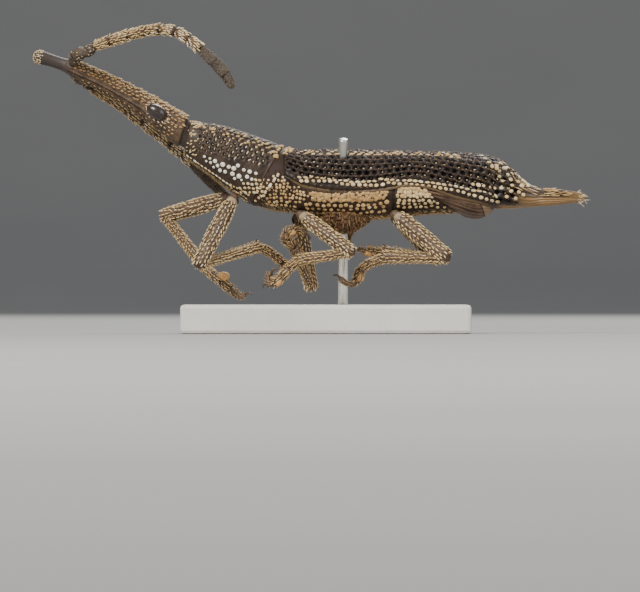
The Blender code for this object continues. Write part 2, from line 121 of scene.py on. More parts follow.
dish_paint, tree, shader = new_paint("studio_dish_paint", {"Roughness": 0.9})
place = add_node(tree, "ShaderNodeTexCoord")
mottle = add_node(tree, "ShaderNodeTexNoise", Scale=60.0)
tone = add_tones(tree, (0.30, 0.30, 0.30), (0.34, 0.34, 0.335))
wire(
    tree, (place, "Object", mottle, "Vector"), (mottle, "Fac", tone, "Fac"),
    (tone, "Color", shader, "Base Color"),
)
dish.data.materials.append(dish_paint)

for lamp_name, lamp_place, lamp_size, lamp_power, lamp_colour in LAMPS:
    aim = Vector(LAMP_TARGET) - Vector(lamp_place)
    bpy.ops.object.light_add(type="AREA", location=lamp_place)
    lamp = bpy.context.object
    lamp.name = lamp_name
    lamp.rotation_euler = aim.to_track_quat("-Z", "Y").to_euler()
    lamp.data.size = lamp_size
    lamp.data.energy = lamp_power
    lamp.data.color = lamp_colour

sky = bpy.data.worlds.new("studio_air")
sky.use_nodes = True
sky.node_tree.nodes["Background"].inputs["Color"].default_value = (0.9, 0.93, 1.0, 1.0)
sky.node_tree.nodes["Background"].inputs["Strength"].default_value = 0.3
bpy.context.scene.world = sky

bpy.ops.object.camera_add(location=CAMERA_PLACE, rotation=(math.pi / 2, 0, 0))
camera = bpy.context.object
camera.data.lens = CAMERA_LENS
camera.data.sensor_width = 36
camera.data.clip_start = 0.01
bpy.context.scene.camera = camera

# Snout and head
# The long snout and the head are one piece of brown hard skin. It runs from a pale scaled tip past
# the roots of the feelers to a dark neck, with a bare groove along each side of the snout. Each of
# its rows, from front to rear, is x and z of the upper edge, x and z of the lower edge, half width.
SKULL_ROWS = (
    (-9.52, 9.72, -9.55, 9.60, 0.06),
    (-9.47, 9.76, -9.54, 9.51, 0.14),
    (-9.38, 9.82, -9.50, 9.42, 0.21),
    (-9.22, 9.81, -9.35, 9.35, 0.24),
    (-8.84, 9.67, -8.97, 9.26, 0.20),
    (-8.45, 9.55, -8.60, 9.13, 0.23),
    (-8.18, 9.49, -8.38, 9.00, 0.36),
    (-7.85, 9.38, -8.09, 8.84, 0.36),
    (-7.56, 9.27, -7.82, 8.70, 0.31),
    (-6.95, 9.01, -7.25, 8.42, 0.31),
    (-6.30, 8.70, -6.65, 8.05, 0.34),
    (-5.66, 8.38, -6.07, 7.68, 0.37),
    (-5.35, 8.21, -5.79, 7.47, 0.40),
    (-5.05, 8.04, -5.51, 7.25, 0.44),
    (-4.63, 7.80, -5.12, 6.95, 0.48),
    (-4.34, 7.63, -4.79, 6.68, 0.50),
    (-4.20, 7.54, -4.56, 6.50, 0.49),
    (-4.12, 7.40, -4.42, 6.46, 0.44),
    (-3.90, 7.16, -4.20, 6.30, 0.42),
    (-3.70, 7.00, -4.00, 6.20, 0.40),
)
# one millimetre, and the gap that is closed between points, in metres
MM = 0.001
WELD = 2e-7
# x where the ribbed part of the snout starts and where the neck starts
RIBS_START = -8.35
NECK_START = -4.38
# shares round the head, from the back down, of the ridge on its side and the groove under it
KEEL_SHARE = 0.31
GROOVE_SHARE = 0.335


def smooth_rows(rows):
    """Numbers along a smooth curve through the rows"""
    rows = np.array(rows, float)
    last = len(rows) - 1
    place = np.linspace(0, last, 20 * last + 1)
    index = np.minimum(place.astype(int), last - 1)
    t = (place - index)[:, None]
    before = rows[np.maximum(index - 1, 0)]
    start = rows[index]
    end = rows[index + 1]
    after = rows[np.minimum(index + 2, last)]
    return 0.5 * (
        2 * start + (end - before) * t + (2 * before - 5 * start + 4 * end - after) * t ** 2
        + (3 * start - before - 3 * end + after) * t ** 3
    )


def even(rows, line, count):
    """The rows again at even steps along a line"""
    steps = np.linalg.norm(np.diff(line, axis=0), axis=1)
    share = np.concatenate([[0], np.cumsum(steps)])
    wanted = np.linspace(0, share[-1], count)
    return np.stack([np.interp(wanted, share, column) for column in rows.T], axis=1)


def body_table(rows, stations, around, squareness):
    """Rings of points from front to rear, each from the back down the left side and round"""
    rows = smooth_rows(rows)
    rows = even(rows, (rows[:, 0:2] + rows[:, 2:4]) / 2, stations)
    angle = np.linspace(0, 2 * math.pi, 241)
    rise = np.sign(np.cos(angle)) * np.abs(np.cos(angle)) ** squareness
    across = np.sign(np.sin(angle)) * np.abs(np.sin(angle)) ** squareness
    rings = []
    for row in rows:
        waist = row[5] if len(row) > 5 else 0.5
        share = waist + np.where(rise > 0, rise * (1 - waist), rise * waist)
        ring = np.stack([
            row[2] + (row[0] - row[2]) * share,
            -across * row[4],
            row[3] + (row[1] - row[3]) * share,
        ], axis=1)
        rings.append(even(ring, ring, around + 1))
    return np.array(rings)


def outward(table):
    """Unit vectors out of a table of points, and along it"""
    along = np.gradient(table, axis=0)
    round_it = np.gradient(table, axis=1)
    normal = np.cross(round_it, along)
    normal /= np.linalg.norm(normal, axis=2, keepdims=True) + 1e-12
    along /= np.linalg.norm(along, axis=2, keepdims=True) + 1e-12
    if (normal * (table - table.mean(axis=1, keepdims=True))).sum() < 0:
        normal = -normal
    return normal, along


def shares(table):
    """Share along and share round of each point of a table"""
    stations, columns = table.shape[:2]
    return np.meshgrid(np.linspace(0, 1, stations), np.linspace(0, 1, columns), indexing="ij")


def raised(table, relief):
    """The table with each point moved out by its relief"""
    result = table + outward(table)[0] * relief[:, :, None]
    result[:, -1] = result[:, 0]
    return result


def skin(name, table, relief, accent=None):
    """Closed smooth piece through a table of points, from a grid that is rolled into a tube"""
    stations, columns = table.shape[:2]
    bpy.ops.object.select_all(action="DESELECT")
    bpy.ops.mesh.primitive_grid_add(
        x_subdivisions=columns - 1, y_subdivisions=stations - 1, size=MM
    )
    piece = bpy.context.object
    piece.name = name
    piece.data.name = name
    piece.data.vertices.foreach_set("co", (table * MM).astype(np.float32).ravel())
    if accent is None:
        accent = np.zeros(relief.shape)
    for word, values in (("relief", relief), ("accent", accent)):
        attribute = piece.data.attributes.new(word, "FLOAT", "POINT")
        attribute.data.foreach_set("value", values.astype(np.float32).ravel())
    bpy.ops.object.mode_set(mode="EDIT")
    bpy.ops.mesh.select_all(action="SELECT")
    bpy.ops.mesh.remove_doubles(threshold=WELD)
    bpy.ops.mesh.fill_holes(sides=0)
    bpy.ops.mesh.normals_make_consistent(inside=False)
    bpy.ops.object.mode_set(mode="OBJECT")
    bpy.ops.object.shade_smooth()
    return piece


def hard_skin(name, dark, light, low, high, roughness, accent=(0.02, 0.015, 0.012), gloss=0.35):
    """Beetle's hard skin, finely grained: painted shade where its relief is low, painted highlight
    where high
    """
    material, tree, shader = new_paint(name, {"Specular IOR Level": gloss})
    place = add_node(tree, "ShaderNodeTexCoord")
    height = add_node(tree, "ShaderNodeAttribute")
    height.attribute_name = "relief"
    marked = add_node(tree, "ShaderNodeAttribute")
    marked.attribute_name = "accent"
    # The relief sets the tone: low relief gets painted shade in pits, grooves and seams, high
    # relief gets painted highlight on ridges
    level = add_node(tree, "ShaderNodeMapRange", From_Min=low, From_Max=high)
    mottle = add_node(tree, "ShaderNodeTexNoise", Scale=2600.0, Detail=5.0)
    shift = add_node(
        tree, "ShaderNodeMapRange", From_Min=0.3, From_Max=0.7, To_Min=-0.28, To_Max=0.34
    )
    blend = add_node(tree, "ShaderNodeMath")
    blend.operation = "MULTIPLY_ADD"
    blend.use_clamp = True
    blend.inputs[1].default_value = 0.9
    tone = add_tones(tree, dark, light)
    mixer = add_node(tree, "ShaderNodeMix")
    mixer.data_type = "RGBA"
    mixer.inputs[7].default_value = (*accent, 1)
    fine = add_node(tree, "ShaderNodeTexNoise", Scale=16000.0, Detail=3.0)
    bump = add_node(tree, "ShaderNodeBump", Distance=7e-6)
    rough = add_node(
        tree, "ShaderNodeMapRange", To_Min=roughness - 0.12, To_Max=roughness + 0.14
    )
    wire(
        tree, (place, "Object", mottle, "Vector"), (place, "Object", fine, "Vector"),
        (height, "Fac", level, "Value"), (mottle, "Fac", shift, "Value"),
        (level, "Result", blend, 0), (shift, "Result", blend, 2), (blend, "Value", tone, "Fac"),
        (marked, "Fac", mixer, 0), (tone, "Color", mixer, 6), (mixer, 2, shader, "Base Color"),
        (fine, "Fac", bump, "Height"), (bump, "Normal", shader, "Normal"),
        (mottle, "Fac", rough, "Value"), (rough, "Result", shader, "Roughness"),
    )
    return material


def wear(piece, material, slot, *nodes):
    """Give a finished piece its material and the place of its nodes on the body; its slot is not
    used
    """
    piece.data.materials.clear()
    piece.data.materials.append(material)
    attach(piece, "root")
    if nodes:
        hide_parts(*nodes)


def share_at(table, x):
    """Share along a table at which its middle line has an x"""
    middle = table[:, :-1, 0].mean(axis=1)
    return np.interp(x, middle, np.linspace(0, 1, len(middle)))


def window(value, start, end, soft):
    """1 between start and end, falling to 0 over a soft edge"""
    rise = np.clip((value - start) / soft + 0.5, 0, 1)
    fall = np.clip((end - value) / soft + 0.5, 0, 1)
    return rise * rise * (3 - 2 * rise) * fall * fall * (3 - 2 * fall)


skull_table = body_table(SKULL_ROWS, 200, 72, 0.92)
u, v = shares(skull_table)
side_share = np.minimum(v, 1 - v)
skull_x = skull_table[:, :, 0]
keel = np.exp(-((side_share - KEEL_SHARE) / 0.012) ** 2)
keel *= window(skull_x, RIBS_START, -5.3, 0.5)
groove = np.exp(-((side_share - GROOVE_SHARE) / 0.012) ** 2)
groove *= window(skull_x, RIBS_START, -5.6, 0.5)
ribs = np.cos(side_share * 2 * math.pi * 20) * window(side_share, -0.1, 0.26, 0.04)
ribs *= window(skull_x, RIBS_START, -4.5, 0.2)
neck = np.clip((u - share_at(skull_table, NECK_START)) / 0.01, 0, 1)
skull_relief = 0.018 * ribs + 0.03 * keel - 0.03 * groove - 0.035 * neck
skull_relief += 0.009 * rng.standard_normal(u.shape) * window(skull_x, -8.3, -4.4, 0.3)
skull_table = raised(skull_table, skull_relief)
bare_tip = np.clip((-8.15 - skull_x) / 0.35, 0, 1)
low_neck = neck * window(side_share, 0.24, 0.6, 0.08)
skull = skin("snout_and_head", skull_table, skull_relief, np.maximum(bare_tip, low_neck))
skull_finish = hard_skin(
    "snout_skin", (0.03, 0.019, 0.012), (0.15, 0.094, 0.053), -0.03, 0.035, 0.5,
    accent=(0.05, 0.037, 0.031),
)
wear(skull, skull_finish, "brown_cuticle", "snout", "head")

# Scales of the snout and head
# Overlapping leaf-shaped scales, orange-cream on top and cream below, lie in rows that point to
# the rear. They are flat blades of the skin's own making, so each one is rooted on the snout.


def pattern(piece):
    """Points and faces of a modelled scale, which is then removed"""
    bpy.ops.object.transform_apply(location=True, rotation=True, scale=True)
    mesh = piece.data
    points = np.array([vertex.co for vertex in mesh.vertices])
    faces = [tuple(face.vertices) for face in mesh.polygons]
    bpy.data.objects.remove(piece)
    return points, faces


def domed(sides, depth, centre):
    """Flat scale with a raised and narrowed top"""
    bpy.ops.object.select_all(action="DESELECT")
    bpy.ops.mesh.primitive_cylinder_add(
        vertices=sides, radius=0.5, depth=depth, location=(centre, 0, 0.0),
        rotation=(0, 0, math.pi / 2),
    )
    piece = bpy.context.object
    bpy.ops.object.mode_set(mode="EDIT")
    bpy.ops.mesh.select_all(action="DESELECT")
    bpy.ops.object.mode_set(mode="OBJECT")
    for face in piece.data.polygons:
        face.select = face.normal.z > 0.9
    bpy.ops.object.mode_set(mode="EDIT")
    bpy.ops.mesh.inset(thickness=0.22)
    bpy.ops.transform.translate(value=(0, 0, depth * 0.5))
    bpy.ops.object.mode_set(mode="OBJECT")
    return pattern(piece)


leaf_scale = domed(6, 0.4, 0.5)
round_scale = domed(8, 0.24, 0.0)

bpy.ops.object.select_all(action="DESELECT")
bpy.ops.mesh.primitive_cone_add(
    vertices=4, radius1=0.5, radius2=0.1, depth=1, location=(0.5, 0, 0),
    rotation=(0, math.pi / 2, 0),
)
bristle = pattern(bpy.context.object)


def sample(table, along_share, round_share):
    """Values of a table between its points"""
    stations, columns = table.shape[:2]
    a = np.clip(along_share, 0, 1) * (stations - 1)
    b = np.mod(round_share, 1.0) * (columns - 1)
    row = np.minimum(a.astype(int), stations - 2)
    column = np.minimum(b.astype(int), columns - 2)
    a = (a - row)[:, None]
    b = (b - column)[:, None]
    first = table[row, column] * (1 - b) + table[row, column + 1] * b
    second = table[row + 1, column] * (1 - b) + table[row + 1, column + 1] * b
    return first * (1 - a) + second * a


def laid(shape, table, spots, length, width, lean, tint, band=(0.0, 1.0), turn=0.12, sunk=0.0,
         aim=0.0):
    """Copies of a scale rooted on a skin, laid along it and leaning off it by some degrees"""
    points, faces = shape
    u, v = (np.asarray(share, float) for share in spots)
    count = len(u)
    normals, alongs = outward(table)
    root = sample(table, u, v)
    normal = sample(normals, u, v)
    normal /= np.linalg.norm(normal, axis=1, keepdims=True)
    along = sample(alongs, u, v)
    along -= normal * (along * normal).sum(axis=1, keepdims=True)
    along /= np.linalg.norm(along, axis=1, keepdims=True)
    across = np.cross(normal, along)
    spin = rng.normal(0, turn, (count, 1)) + np.broadcast_to(aim, count)[:, None]
    along, across = (along * np.cos(spin) + across * np.sin(spin),
                     across * np.cos(spin) - along * np.sin(spin))
    tip = np.radians(lean * (1 + rng.normal(0, 0.2, (count, 1))))
    along, normal = (along * np.cos(tip) + normal * np.sin(tip),
                     normal * np.cos(tip) - along * np.sin(tip))
    size = 1 + rng.normal(0, 0.08, (count, 1, 1))
    long = np.broadcast_to(length, count)[:, None, None] * size
    wide = np.broadcast_to(width, count)[:, None, None] * size
    placed = (
        (root - normal * sunk)[:, None, :]
        + points[None, :, 0:1] * long * along[:, None, :]
        + points[None, :, 1:2] * wide * across[:, None, :]
        + points[None, :, 2:3] * wide * normal[:, None, :]
    )
    colour = np.broadcast_to(tint, count) + rng.normal(0, 0.07, count)
    map_u = band[0] + (band[1] - band[0]) * np.clip(v, 0, 1)
    return placed, faces, colour, np.stack([map_u, u], axis=1), points


def coat(name, parts, material, slot, patch_size=0.003):
    """One piece of all the laid scales, each with a small patch of the bake map at its root"""
    points, corners, sizes, tints, patches = [], [], [], [], []
    start = 0
    for placed, faces, colour, roots, local in parts:
        count, each = placed.shape[:2]
        points.append(placed.reshape(-1, 3))
        tints.append(np.repeat(colour, each))
        flat = np.array([corner for face in faces for corner in face])
        offsets = start + np.arange(count)[:, None] * each
        corners.append((offsets + flat[None, :]).ravel())
        sizes.append(np.tile([len(face) for face in faces], count))
        span = np.ptp(local[:, :2], axis=0).max()
        middle = (local[:, :2].min(axis=0) + local[:, :2].max(axis=0)) / 2
        spread = (local[flat, :2] - middle) / span * patch_size
        patch = np.clip(roots, 0.002, 0.998)[:, None, :] + spread[None, :, :]
        patches.append(patch.reshape(-1, 2))
        start += count * each
    points = np.concatenate(points) * MM
    corners = np.concatenate(corners)
    sizes = np.concatenate(sizes)
    mesh = bpy.data.meshes.new(name)
    mesh.vertices.add(len(points))
    mesh.vertices.foreach_set("co", points.astype(np.float32).ravel())
    mesh.loops.add(len(corners))
    mesh.loops.foreach_set("vertex_index", corners.astype(np.int32))
    mesh.polygons.add(len(sizes))
    mesh.polygons.foreach_set("loop_start", (np.cumsum(sizes) - sizes).astype(np.int32))
    mesh.update(calc_edges=True)
    tint = mesh.attributes.new("tint", "FLOAT", "POINT")
    tint.data.foreach_set("value", np.concatenate(tints).astype(np.float32))
    bake_map = mesh.uv_layers.new(name="OFBake")
    bake_map.data.foreach_set("uv", np.concatenate(patches).astype(np.float32).ravel())
    mesh.validate()
    mesh.shade_smooth()
    mesh.set_sharp_from_angle(angle=math.radians(50))
    piece = bpy.data.objects.new(name, mesh)
    bpy.context.scene.collection.objects.link(piece)
    wear(piece, material, slot)
    return piece


def scale_finish(name, tones):
    """Scales from ochre through cream to white, by each one's own tint, with a fine grain"""
    material, tree, shader = new_paint(name, {"Roughness": 0.55, "Sheen Weight": 0.15})
    place = add_node(tree, "ShaderNodeTexCoord")
    tint = add_node(tree, "ShaderNodeAttribute")
    tint.attribute_name = "tint"
    cloud = add_node(tree, "ShaderNodeTexNoise", Scale=9000.0, Detail=3.0)
    centred = add_node(tree, "ShaderNodeMath")
    centred.operation = "SUBTRACT"
    centred.inputs[1].default_value = 0.15
    mixed = add_node(tree, "ShaderNodeMath")
    mixed.operation = "MULTIPLY_ADD"
    mixed.inputs[1].default_value = 0.3
    mixed.use_clamp = True
    tone = add_tones(tree, *tones)
    bump = add_node(tree, "ShaderNodeBump", Distance=4e-6)
    wire(
        tree, (place, "Object", cloud, "Vector"), (cloud, "Fac", mixed, 0),
        (tint, "Fac", centred, 0), (centred, "Value", mixed, 2), (mixed, "Value", tone, "Fac"),
        (tone, "Color", shader, "Base Color"), (cloud, "Fac", bump, "Height"),
        (bump, "Normal", shader, "Normal"),
    )
    return material


def rows_of_spots(table, x_start, x_end, rounds, pitch, stray=0.12):
    """Staggered spots in rows along a table: both sides, at shares round from the back"""
    length = np.linalg.norm(np.diff(table.mean(axis=1), axis=0), axis=1).sum()
    low, high = share_at(table, x_start), share_at(table, x_end)
    step = pitch / length
    spots_u, spots_v = [], []
    for number, share in enumerate(rounds):
        for mirror in (share, 1 - share):
            u = np.arange(low + step * 0.5 * (number % 2), high, step)
            spots_u.append(u + rng.normal(0, stray * step, len(u)))
            spots_v.append(mirror + rng.normal(0, 0.004, len(u)))
    return np.concatenate(spots_u), np.concatenate(spots_v)


def seen_from_side(table, places, side):
    """Shares of the points of a table that lie nearest to given x and z, on one side"""
    outer = (outward(table)[0][:, :, 1] * side) > 0.05
    result = []
    for x, z in np.asarray(places)[:, :2]:
        gap = (table[:, :, 0] - x) ** 2 + (table[:, :, 2] - z) ** 2
        gap = np.where(outer, gap, 1e9)
        row, column = np.unravel_index(np.argmin(gap), gap.shape)
        result.append((row / (table.shape[0] - 1), column / (table.shape[1] - 1)))
    return np.array(result).T


# tones from ochre to white
SCALE_TONES = (
    (0.17, 0.085, 0.024), (0.36, 0.20, 0.065), (0.55, 0.36, 0.14), (0.72, 0.56, 0.30),
    (0.88, 0.84, 0.74),
)
# the eye and the oval ring of scales round it
EYE_CENTRE = (-5.26, 0.45, 7.68)
EYE_TILT = math.radians(30.5)
EYE_RING_SEMI_AXES = (0.43, 0.28)
EYE_RING_SCALES = 16

scale_coat = scale_finish("snout_scales", SCALE_TONES)
upper = rows_of_spots(
    skull_table, -8.2, -4.42, (0.022, 0.064, 0.106, 0.148, 0.19, 0.232), 0.16
)
lower = rows_of_spots(skull_table, -7.8, -4.6, (0.385, 0.43, 0.475), 0.24)
cheek = rows_of_spots(skull_table, -5.0, -4.6, (0.26, 0.30, 0.34), 0.15)
tip_spots = rows_of_spots(skull_table, -9.54, -9.26, np.arange(0.02, 0.5, 0.06), 0.06)
eye_ring = []
for step in range(EYE_RING_SCALES):
    angle = math.tau * step / EYE_RING_SCALES
    reach_long = EYE_RING_SEMI_AXES[0] * math.cos(angle)
    reach_high = EYE_RING_SEMI_AXES[1] * math.sin(angle)
    eye_ring.append((
        EYE_CENTRE[0] + reach_long * math.cos(-EYE_TILT) - reach_high * math.sin(-EYE_TILT),
        EYE_CENTRE[2] + reach_long * math.sin(-EYE_TILT) + reach_high * math.cos(-EYE_TILT),
    ))
near_top = 0.52 - 1.1 * np.minimum(upper[1], 1 - upper[1])
skull_parts = [
    laid(leaf_scale, skull_table, upper, 0.135, 0.055, 16, near_top, turn=0.2),
    laid(leaf_scale, skull_table, lower, 0.09, 0.03, 8, 0.34),
    laid(leaf_scale, skull_table, cheek, 0.10, 0.035, 8, 0.5, turn=0.3),
    laid(leaf_scale, skull_table, tip_spots, 0.06, 0.04, 9, 0.66, turn=0.6),
]
for side in (-1, 1):
    ring_spots = seen_from_side(skull_table, eye_ring, side)
    skull_parts.append(laid(leaf_scale, skull_table, ring_spots, 0.1, 0.045, 6, 0.85, turn=0.5))
coat("snout_and_head_scales", skull_parts, scale_coat, "brown_cuticle")

# Eyes
# Low oval domes on the sides of the head, of many small lenses that shine dark grey-brown. Each is
# set a little into the head behind a ring of pale scales.
EYE_SEMI_AXES = (0.38, 0.255, 0.25)

eye_shine, tree, shader = new_paint(
    "eye_shine", {"Roughness": 0.3, "Coat Weight": 0.3, "Coat Roughness": 0.15}
)
place = add_node(tree, "ShaderNodeTexCoord")
lenses = add_node(tree, "ShaderNodeTexVoronoi", Scale=42000.0)
tone = add_tones(tree, (0.08, 0.057, 0.046), (0.022, 0.015, 0.012))
tone.color_ramp.elements[1].position = 0.6
bump = add_node(tree, "ShaderNodeBump", Strength=0.35, Distance=2.5e-6)
bump.invert = True
wire(
    tree, (place, "Object", lenses, "Vector"), (lenses, "Distance", tone, "Fac"),
    (tone, "Color", shader, "Base Color"), (lenses, "Distance", bump, "Height"),
    (bump, "Normal", shader, "Normal"),
)

for side, word in ((-1, "left"), (1, "right")):
    centre = (EYE_CENTRE[0] * MM, side * EYE_CENTRE[1] * MM, EYE_CENTRE[2] * MM)
    bpy.ops.object.select_all(action="DESELECT")
    bpy.ops.mesh.primitive_uv_sphere_add(
        segments=48, ring_count=28, radius=MM, location=centre,
        rotation=(0, EYE_TILT, 0), scale=EYE_SEMI_AXES,
    )
    eye = bpy.context.object
    eye.name = f"{word}_eye_dome"
    bpy.ops.object.transform_apply(location=True, rotation=True, scale=True)
    bpy.ops.object.shade_smooth()
    wear(eye, eye_shine, "glossy_eye", f"{word}_eye")

# Pronotum
# The cone-shaped front part of the trunk: dark hard skin full of pits, with a pale scale in most,
# a band of round white scales low on each side, and a smooth brown rim behind. Its rows are like
# those of the head.
PRONOTUM_ROWS = (
    (-4.00, 7.20, -4.18, 6.28, 0.46),
    (-4.10, 7.32, -4.30, 6.20, 0.53),
    (-4.04, 7.35, -4.24, 6.08, 0.60),
    (-3.88, 7.34, -4.08, 5.97, 0.66),
    (-3.59, 7.28, -3.77, 5.74, 0.75),
    (-2.97, 7.20, -3.28, 5.38, 0.90),
    (-2.45, 7.04, -2.86, 5.06, 1.01),
    (-1.68, 6.78, -2.38, 4.70, 1.02),
    (-1.20, 6.60, -2.17, 4.54, 0.99),
    (-0.98, 6.49, -2.05, 4.50, 0.95),
    (-0.90, 6.42, -1.98, 4.50, 0.90),
)
PRONOTUM_PITCH = 0.19
PRONOTUM_PIT_ROWS = 34
PRONOTUM_PIT_RADIUS = 0.056
# x and z of the line under which the sides have no pits
BARE_LINE_X = (-3.6, -1.8, -1.1)
BARE_LINE_Z = (6.26, 5.82, 5.68)
# x, z and width of each white scale
WHITE_SPOTS = (
    (-3.39, 6.07, 0.10), (-3.23, 5.97, 0.13), (-2.95, 5.85, 0.16), (-2.76, 5.77, 0.15),
    (-2.58, 5.71, 0.16), (-2.44, 5.81, 0.13), (-2.24, 5.65, 0.16), (-2.03, 5.59, 0.15),
    (-1.81, 5.56, 0.11), (-3.52, 5.98, 0.09), (-3.37, 5.92, 0.11), (-3.14, 5.81, 0.12),
    (-3.05, 5.64, 0.13), (-2.87, 5.60, 0.14), (-2.63, 5.53, 0.17), (-2.40, 5.47, 0.17),
    (-2.12, 5.42, 0.16), (-1.96, 5.35, 0.11), (-3.28, 5.76, 0.09), (-2.55, 5.36, 0.12),
    (-2.32, 5.31, 0.12), (-3.60, 6.12, 0.10),
)
# x and z at which the scaled hind corner starts, and the slope of its edge
HIND_CORNER = (-1.40, 5.48)
HIND_SLOPE = 0.81
# share round the pronotum at which its top ends
PRONOTUM_TOP = 0.15


def from_pits(run, share, pitch, rows, row_pitch):
    """Distance from the middle of the nearest pit, in staggered rows along a skin"""
    across = share * rows
    row = np.floor(across)
    run = run / pitch + 0.5 * np.mod(row, 2)
    return np.hypot((run - np.round(run)) * pitch, (across - row - 0.5) * row_pitch)


pronotum_table = body_table(PRONOTUM_ROWS, 210, 168, 0.9)
u, v = shares(pronotum_table)
side_share = np.minimum(v, 1 - v)
length = np.linalg.norm(np.diff(pronotum_table.mean(axis=1), axis=0), axis=1).sum()
distance = from_pits(u * length, v, PRONOTUM_PITCH, PRONOTUM_PIT_ROWS, 0.17)
middle_part = window(u, 0.16, 0.955, 0.03) * window(side_share, -0.1, 0.37, 0.02)
bare_line = np.interp(pronotum_table[:, :, 0], BARE_LINE_X, BARE_LINE_Z)
middle_part *= 1 - 0.85 * window(pronotum_table[:, :, 2] - bare_line, -0.95, 0.02, 0.12)
pronotum_relief = 0.022 - 0.085 * np.exp(-(distance / PRONOTUM_PIT_RADIUS) ** 2)
pronotum_relief *= middle_part
pronotum_relief += 0.008 * rng.standard_normal(u.shape) * middle_part
pronotum_relief += 0.03 * np.exp(-((u - 0.978) / 0.01) ** 2)
pronotum_table = raised(pronotum_table, pronotum_relief)
collar = window(u, 0.965, 1.2, 0.01) * (1 - 0.6 * window(side_share, -0.1, 0.13, 0.04))
pronotum = skin("pronotum", pronotum_table, pronotum_relief, collar)
# The pits are painted near black as shade, and the crests lighter as painted highlight.
pronotum_finish = hard_skin(
    "pronotum_skin", (0.006, 0.004, 0.003), (0.072, 0.046, 0.029), -0.045, 0.04, 0.52,
    accent=(0.05, 0.026, 0.014),
)
wear(pronotum, pronotum_finish, "brown_cuticle", "prothorax")


def pit_spots(length, pitch, rows, low, high):
    """Shares along and round at the bottoms of the pits, by row"""
    spots = []
    for row in range(rows):
        shift = 0.5 * (row % 2)
        numbers = np.arange(
            math.ceil((low * length) / pitch + shift), (high * length) / pitch + shift
        )
        u = (numbers - shift) * pitch / length
        spots.append(np.stack([u, np.full(len(u), (row + 0.5) / rows)], axis=1))
    return np.concatenate(spots)


pits = pit_spots(length, PRONOTUM_PITCH, PRONOTUM_PIT_ROWS, 0.17, 0.95)
pit_side = np.minimum(pits[:, 1], 1 - pits[:, 1])
pit_place = sample(pronotum_table, pits[:, 0], pits[:, 1])
bare_line = np.interp(pit_place[:, 0], BARE_LINE_X, BARE_LINE_Z)
above = (pit_place[:, 2] > bare_line) & (rng.random(len(pits)) < 0.88)
above &= (pits[:, 0] < 0.93) | (pit_side < 0.13)
on_top = above & (pit_side < PRONOTUM_TOP)
on_side = above & (pit_side >= PRONOTUM_TOP)
upward = np.where(pits[:, 1] < 0.5, 1.35, -1.35)
top_u = np.concatenate([rng.uniform(0.1, 0.96, 110), rng.uniform(0.95, 0.995, 50)])
top_v = np.concatenate([rng.uniform(0.06, 0.135, 110), rng.uniform(0.0, 0.15, 50)])
top_spots = (top_u, np.where(rng.random(160) < 0.5, top_v, 1 - top_v))
corner_places = []
for z in (5.32, 5.18, 5.04, 4.90):
    x_edge = HIND_CORNER[0] - (HIND_CORNER[1] - z) * HIND_SLOPE
    corner_places += [(x_edge - 0.15 * number, z) for number in range(5 if z < 5.2 else 3)]
white_width = np.array(WHITE_SPOTS)[:, 2]
ridge_places = [(-1.50 - 0.34 * t, 5.42 - 0.52 * t) for t in np.linspace(0, 1, 9)]
margin_places = [(-4.22 + 1.49 * t, 6.20 - 1.03 * t) for t in np.linspace(0, 1, 13)]
pronotum_parts = [
    laid(leaf_scale, pronotum_table, pits[on_top].T, 0.125, 0.08, 8, 0.5, sunk=-0.015),
    laid(leaf_scale, pronotum_table, top_spots, 0.12, 0.08, 10, 0.52, turn=0.4),
    laid(leaf_scale, pronotum_table, pits[on_side].T, 0.135, 0.05, 12, 0.75, turn=0.3,
         sunk=-0.015, aim=upward[on_side]),
]
for side in (-1, 1):
    for places, shape, long, wide, tint in (
        (WHITE_SPOTS, round_scale, white_width, white_width * 0.92, 0.98),
        (corner_places, round_scale, 0.12, 0.09, 0.7),
        (ridge_places, leaf_scale, 0.12, 0.055, 0.75),
        (margin_places, leaf_scale, 0.13, 0.055, 0.7),
    ):
        spots = seen_from_side(pronotum_table, places, side)
        pronotum_parts.append(laid(shape, pronotum_table, spots, long, wide, 3, tint, sunk=-0.02))
front_v, front_u = np.meshgrid(np.linspace(0.01, 0.36, 12), np.arange(0.05, 0.15, 0.032))
front = np.stack([
    np.tile(front_u.ravel(), 2), np.concatenate([front_v.ravel(), 1 - front_v.ravel()])
])
front += rng.normal(0, 0.006, front.shape)
front = front[:, rng.random(front.shape[1]) < 0.8]
under = rows_of_spots(pronotum_table, -2.5, -1.65, (0.39, 0.42, 0.45), 0.15)
fuzz = rows_of_spots(pronotum_table, -4.1, -2.5, (0.44, 0.47, 0.495), 0.06, 0.4)
pronotum_parts += [
    laid(leaf_scale, pronotum_table, front, 0.115, 0.05, 9, 0.66, turn=0.4,
         aim=np.where(front[1] < 0.5, 0.7, -0.7)),
    laid(round_scale, pronotum_table, under, 0.10, 0.08, 4, 0.6),
    laid(bristle, pronotum_table, fuzz, 0.11, 0.018, 30, 0.45, turn=0.4),
]
pronotum_coat = scale_finish("pronotum_scales", SCALE_TONES)
coat("pronotum_scales", pronotum_parts, pronotum_coat, "brown_cuticle")

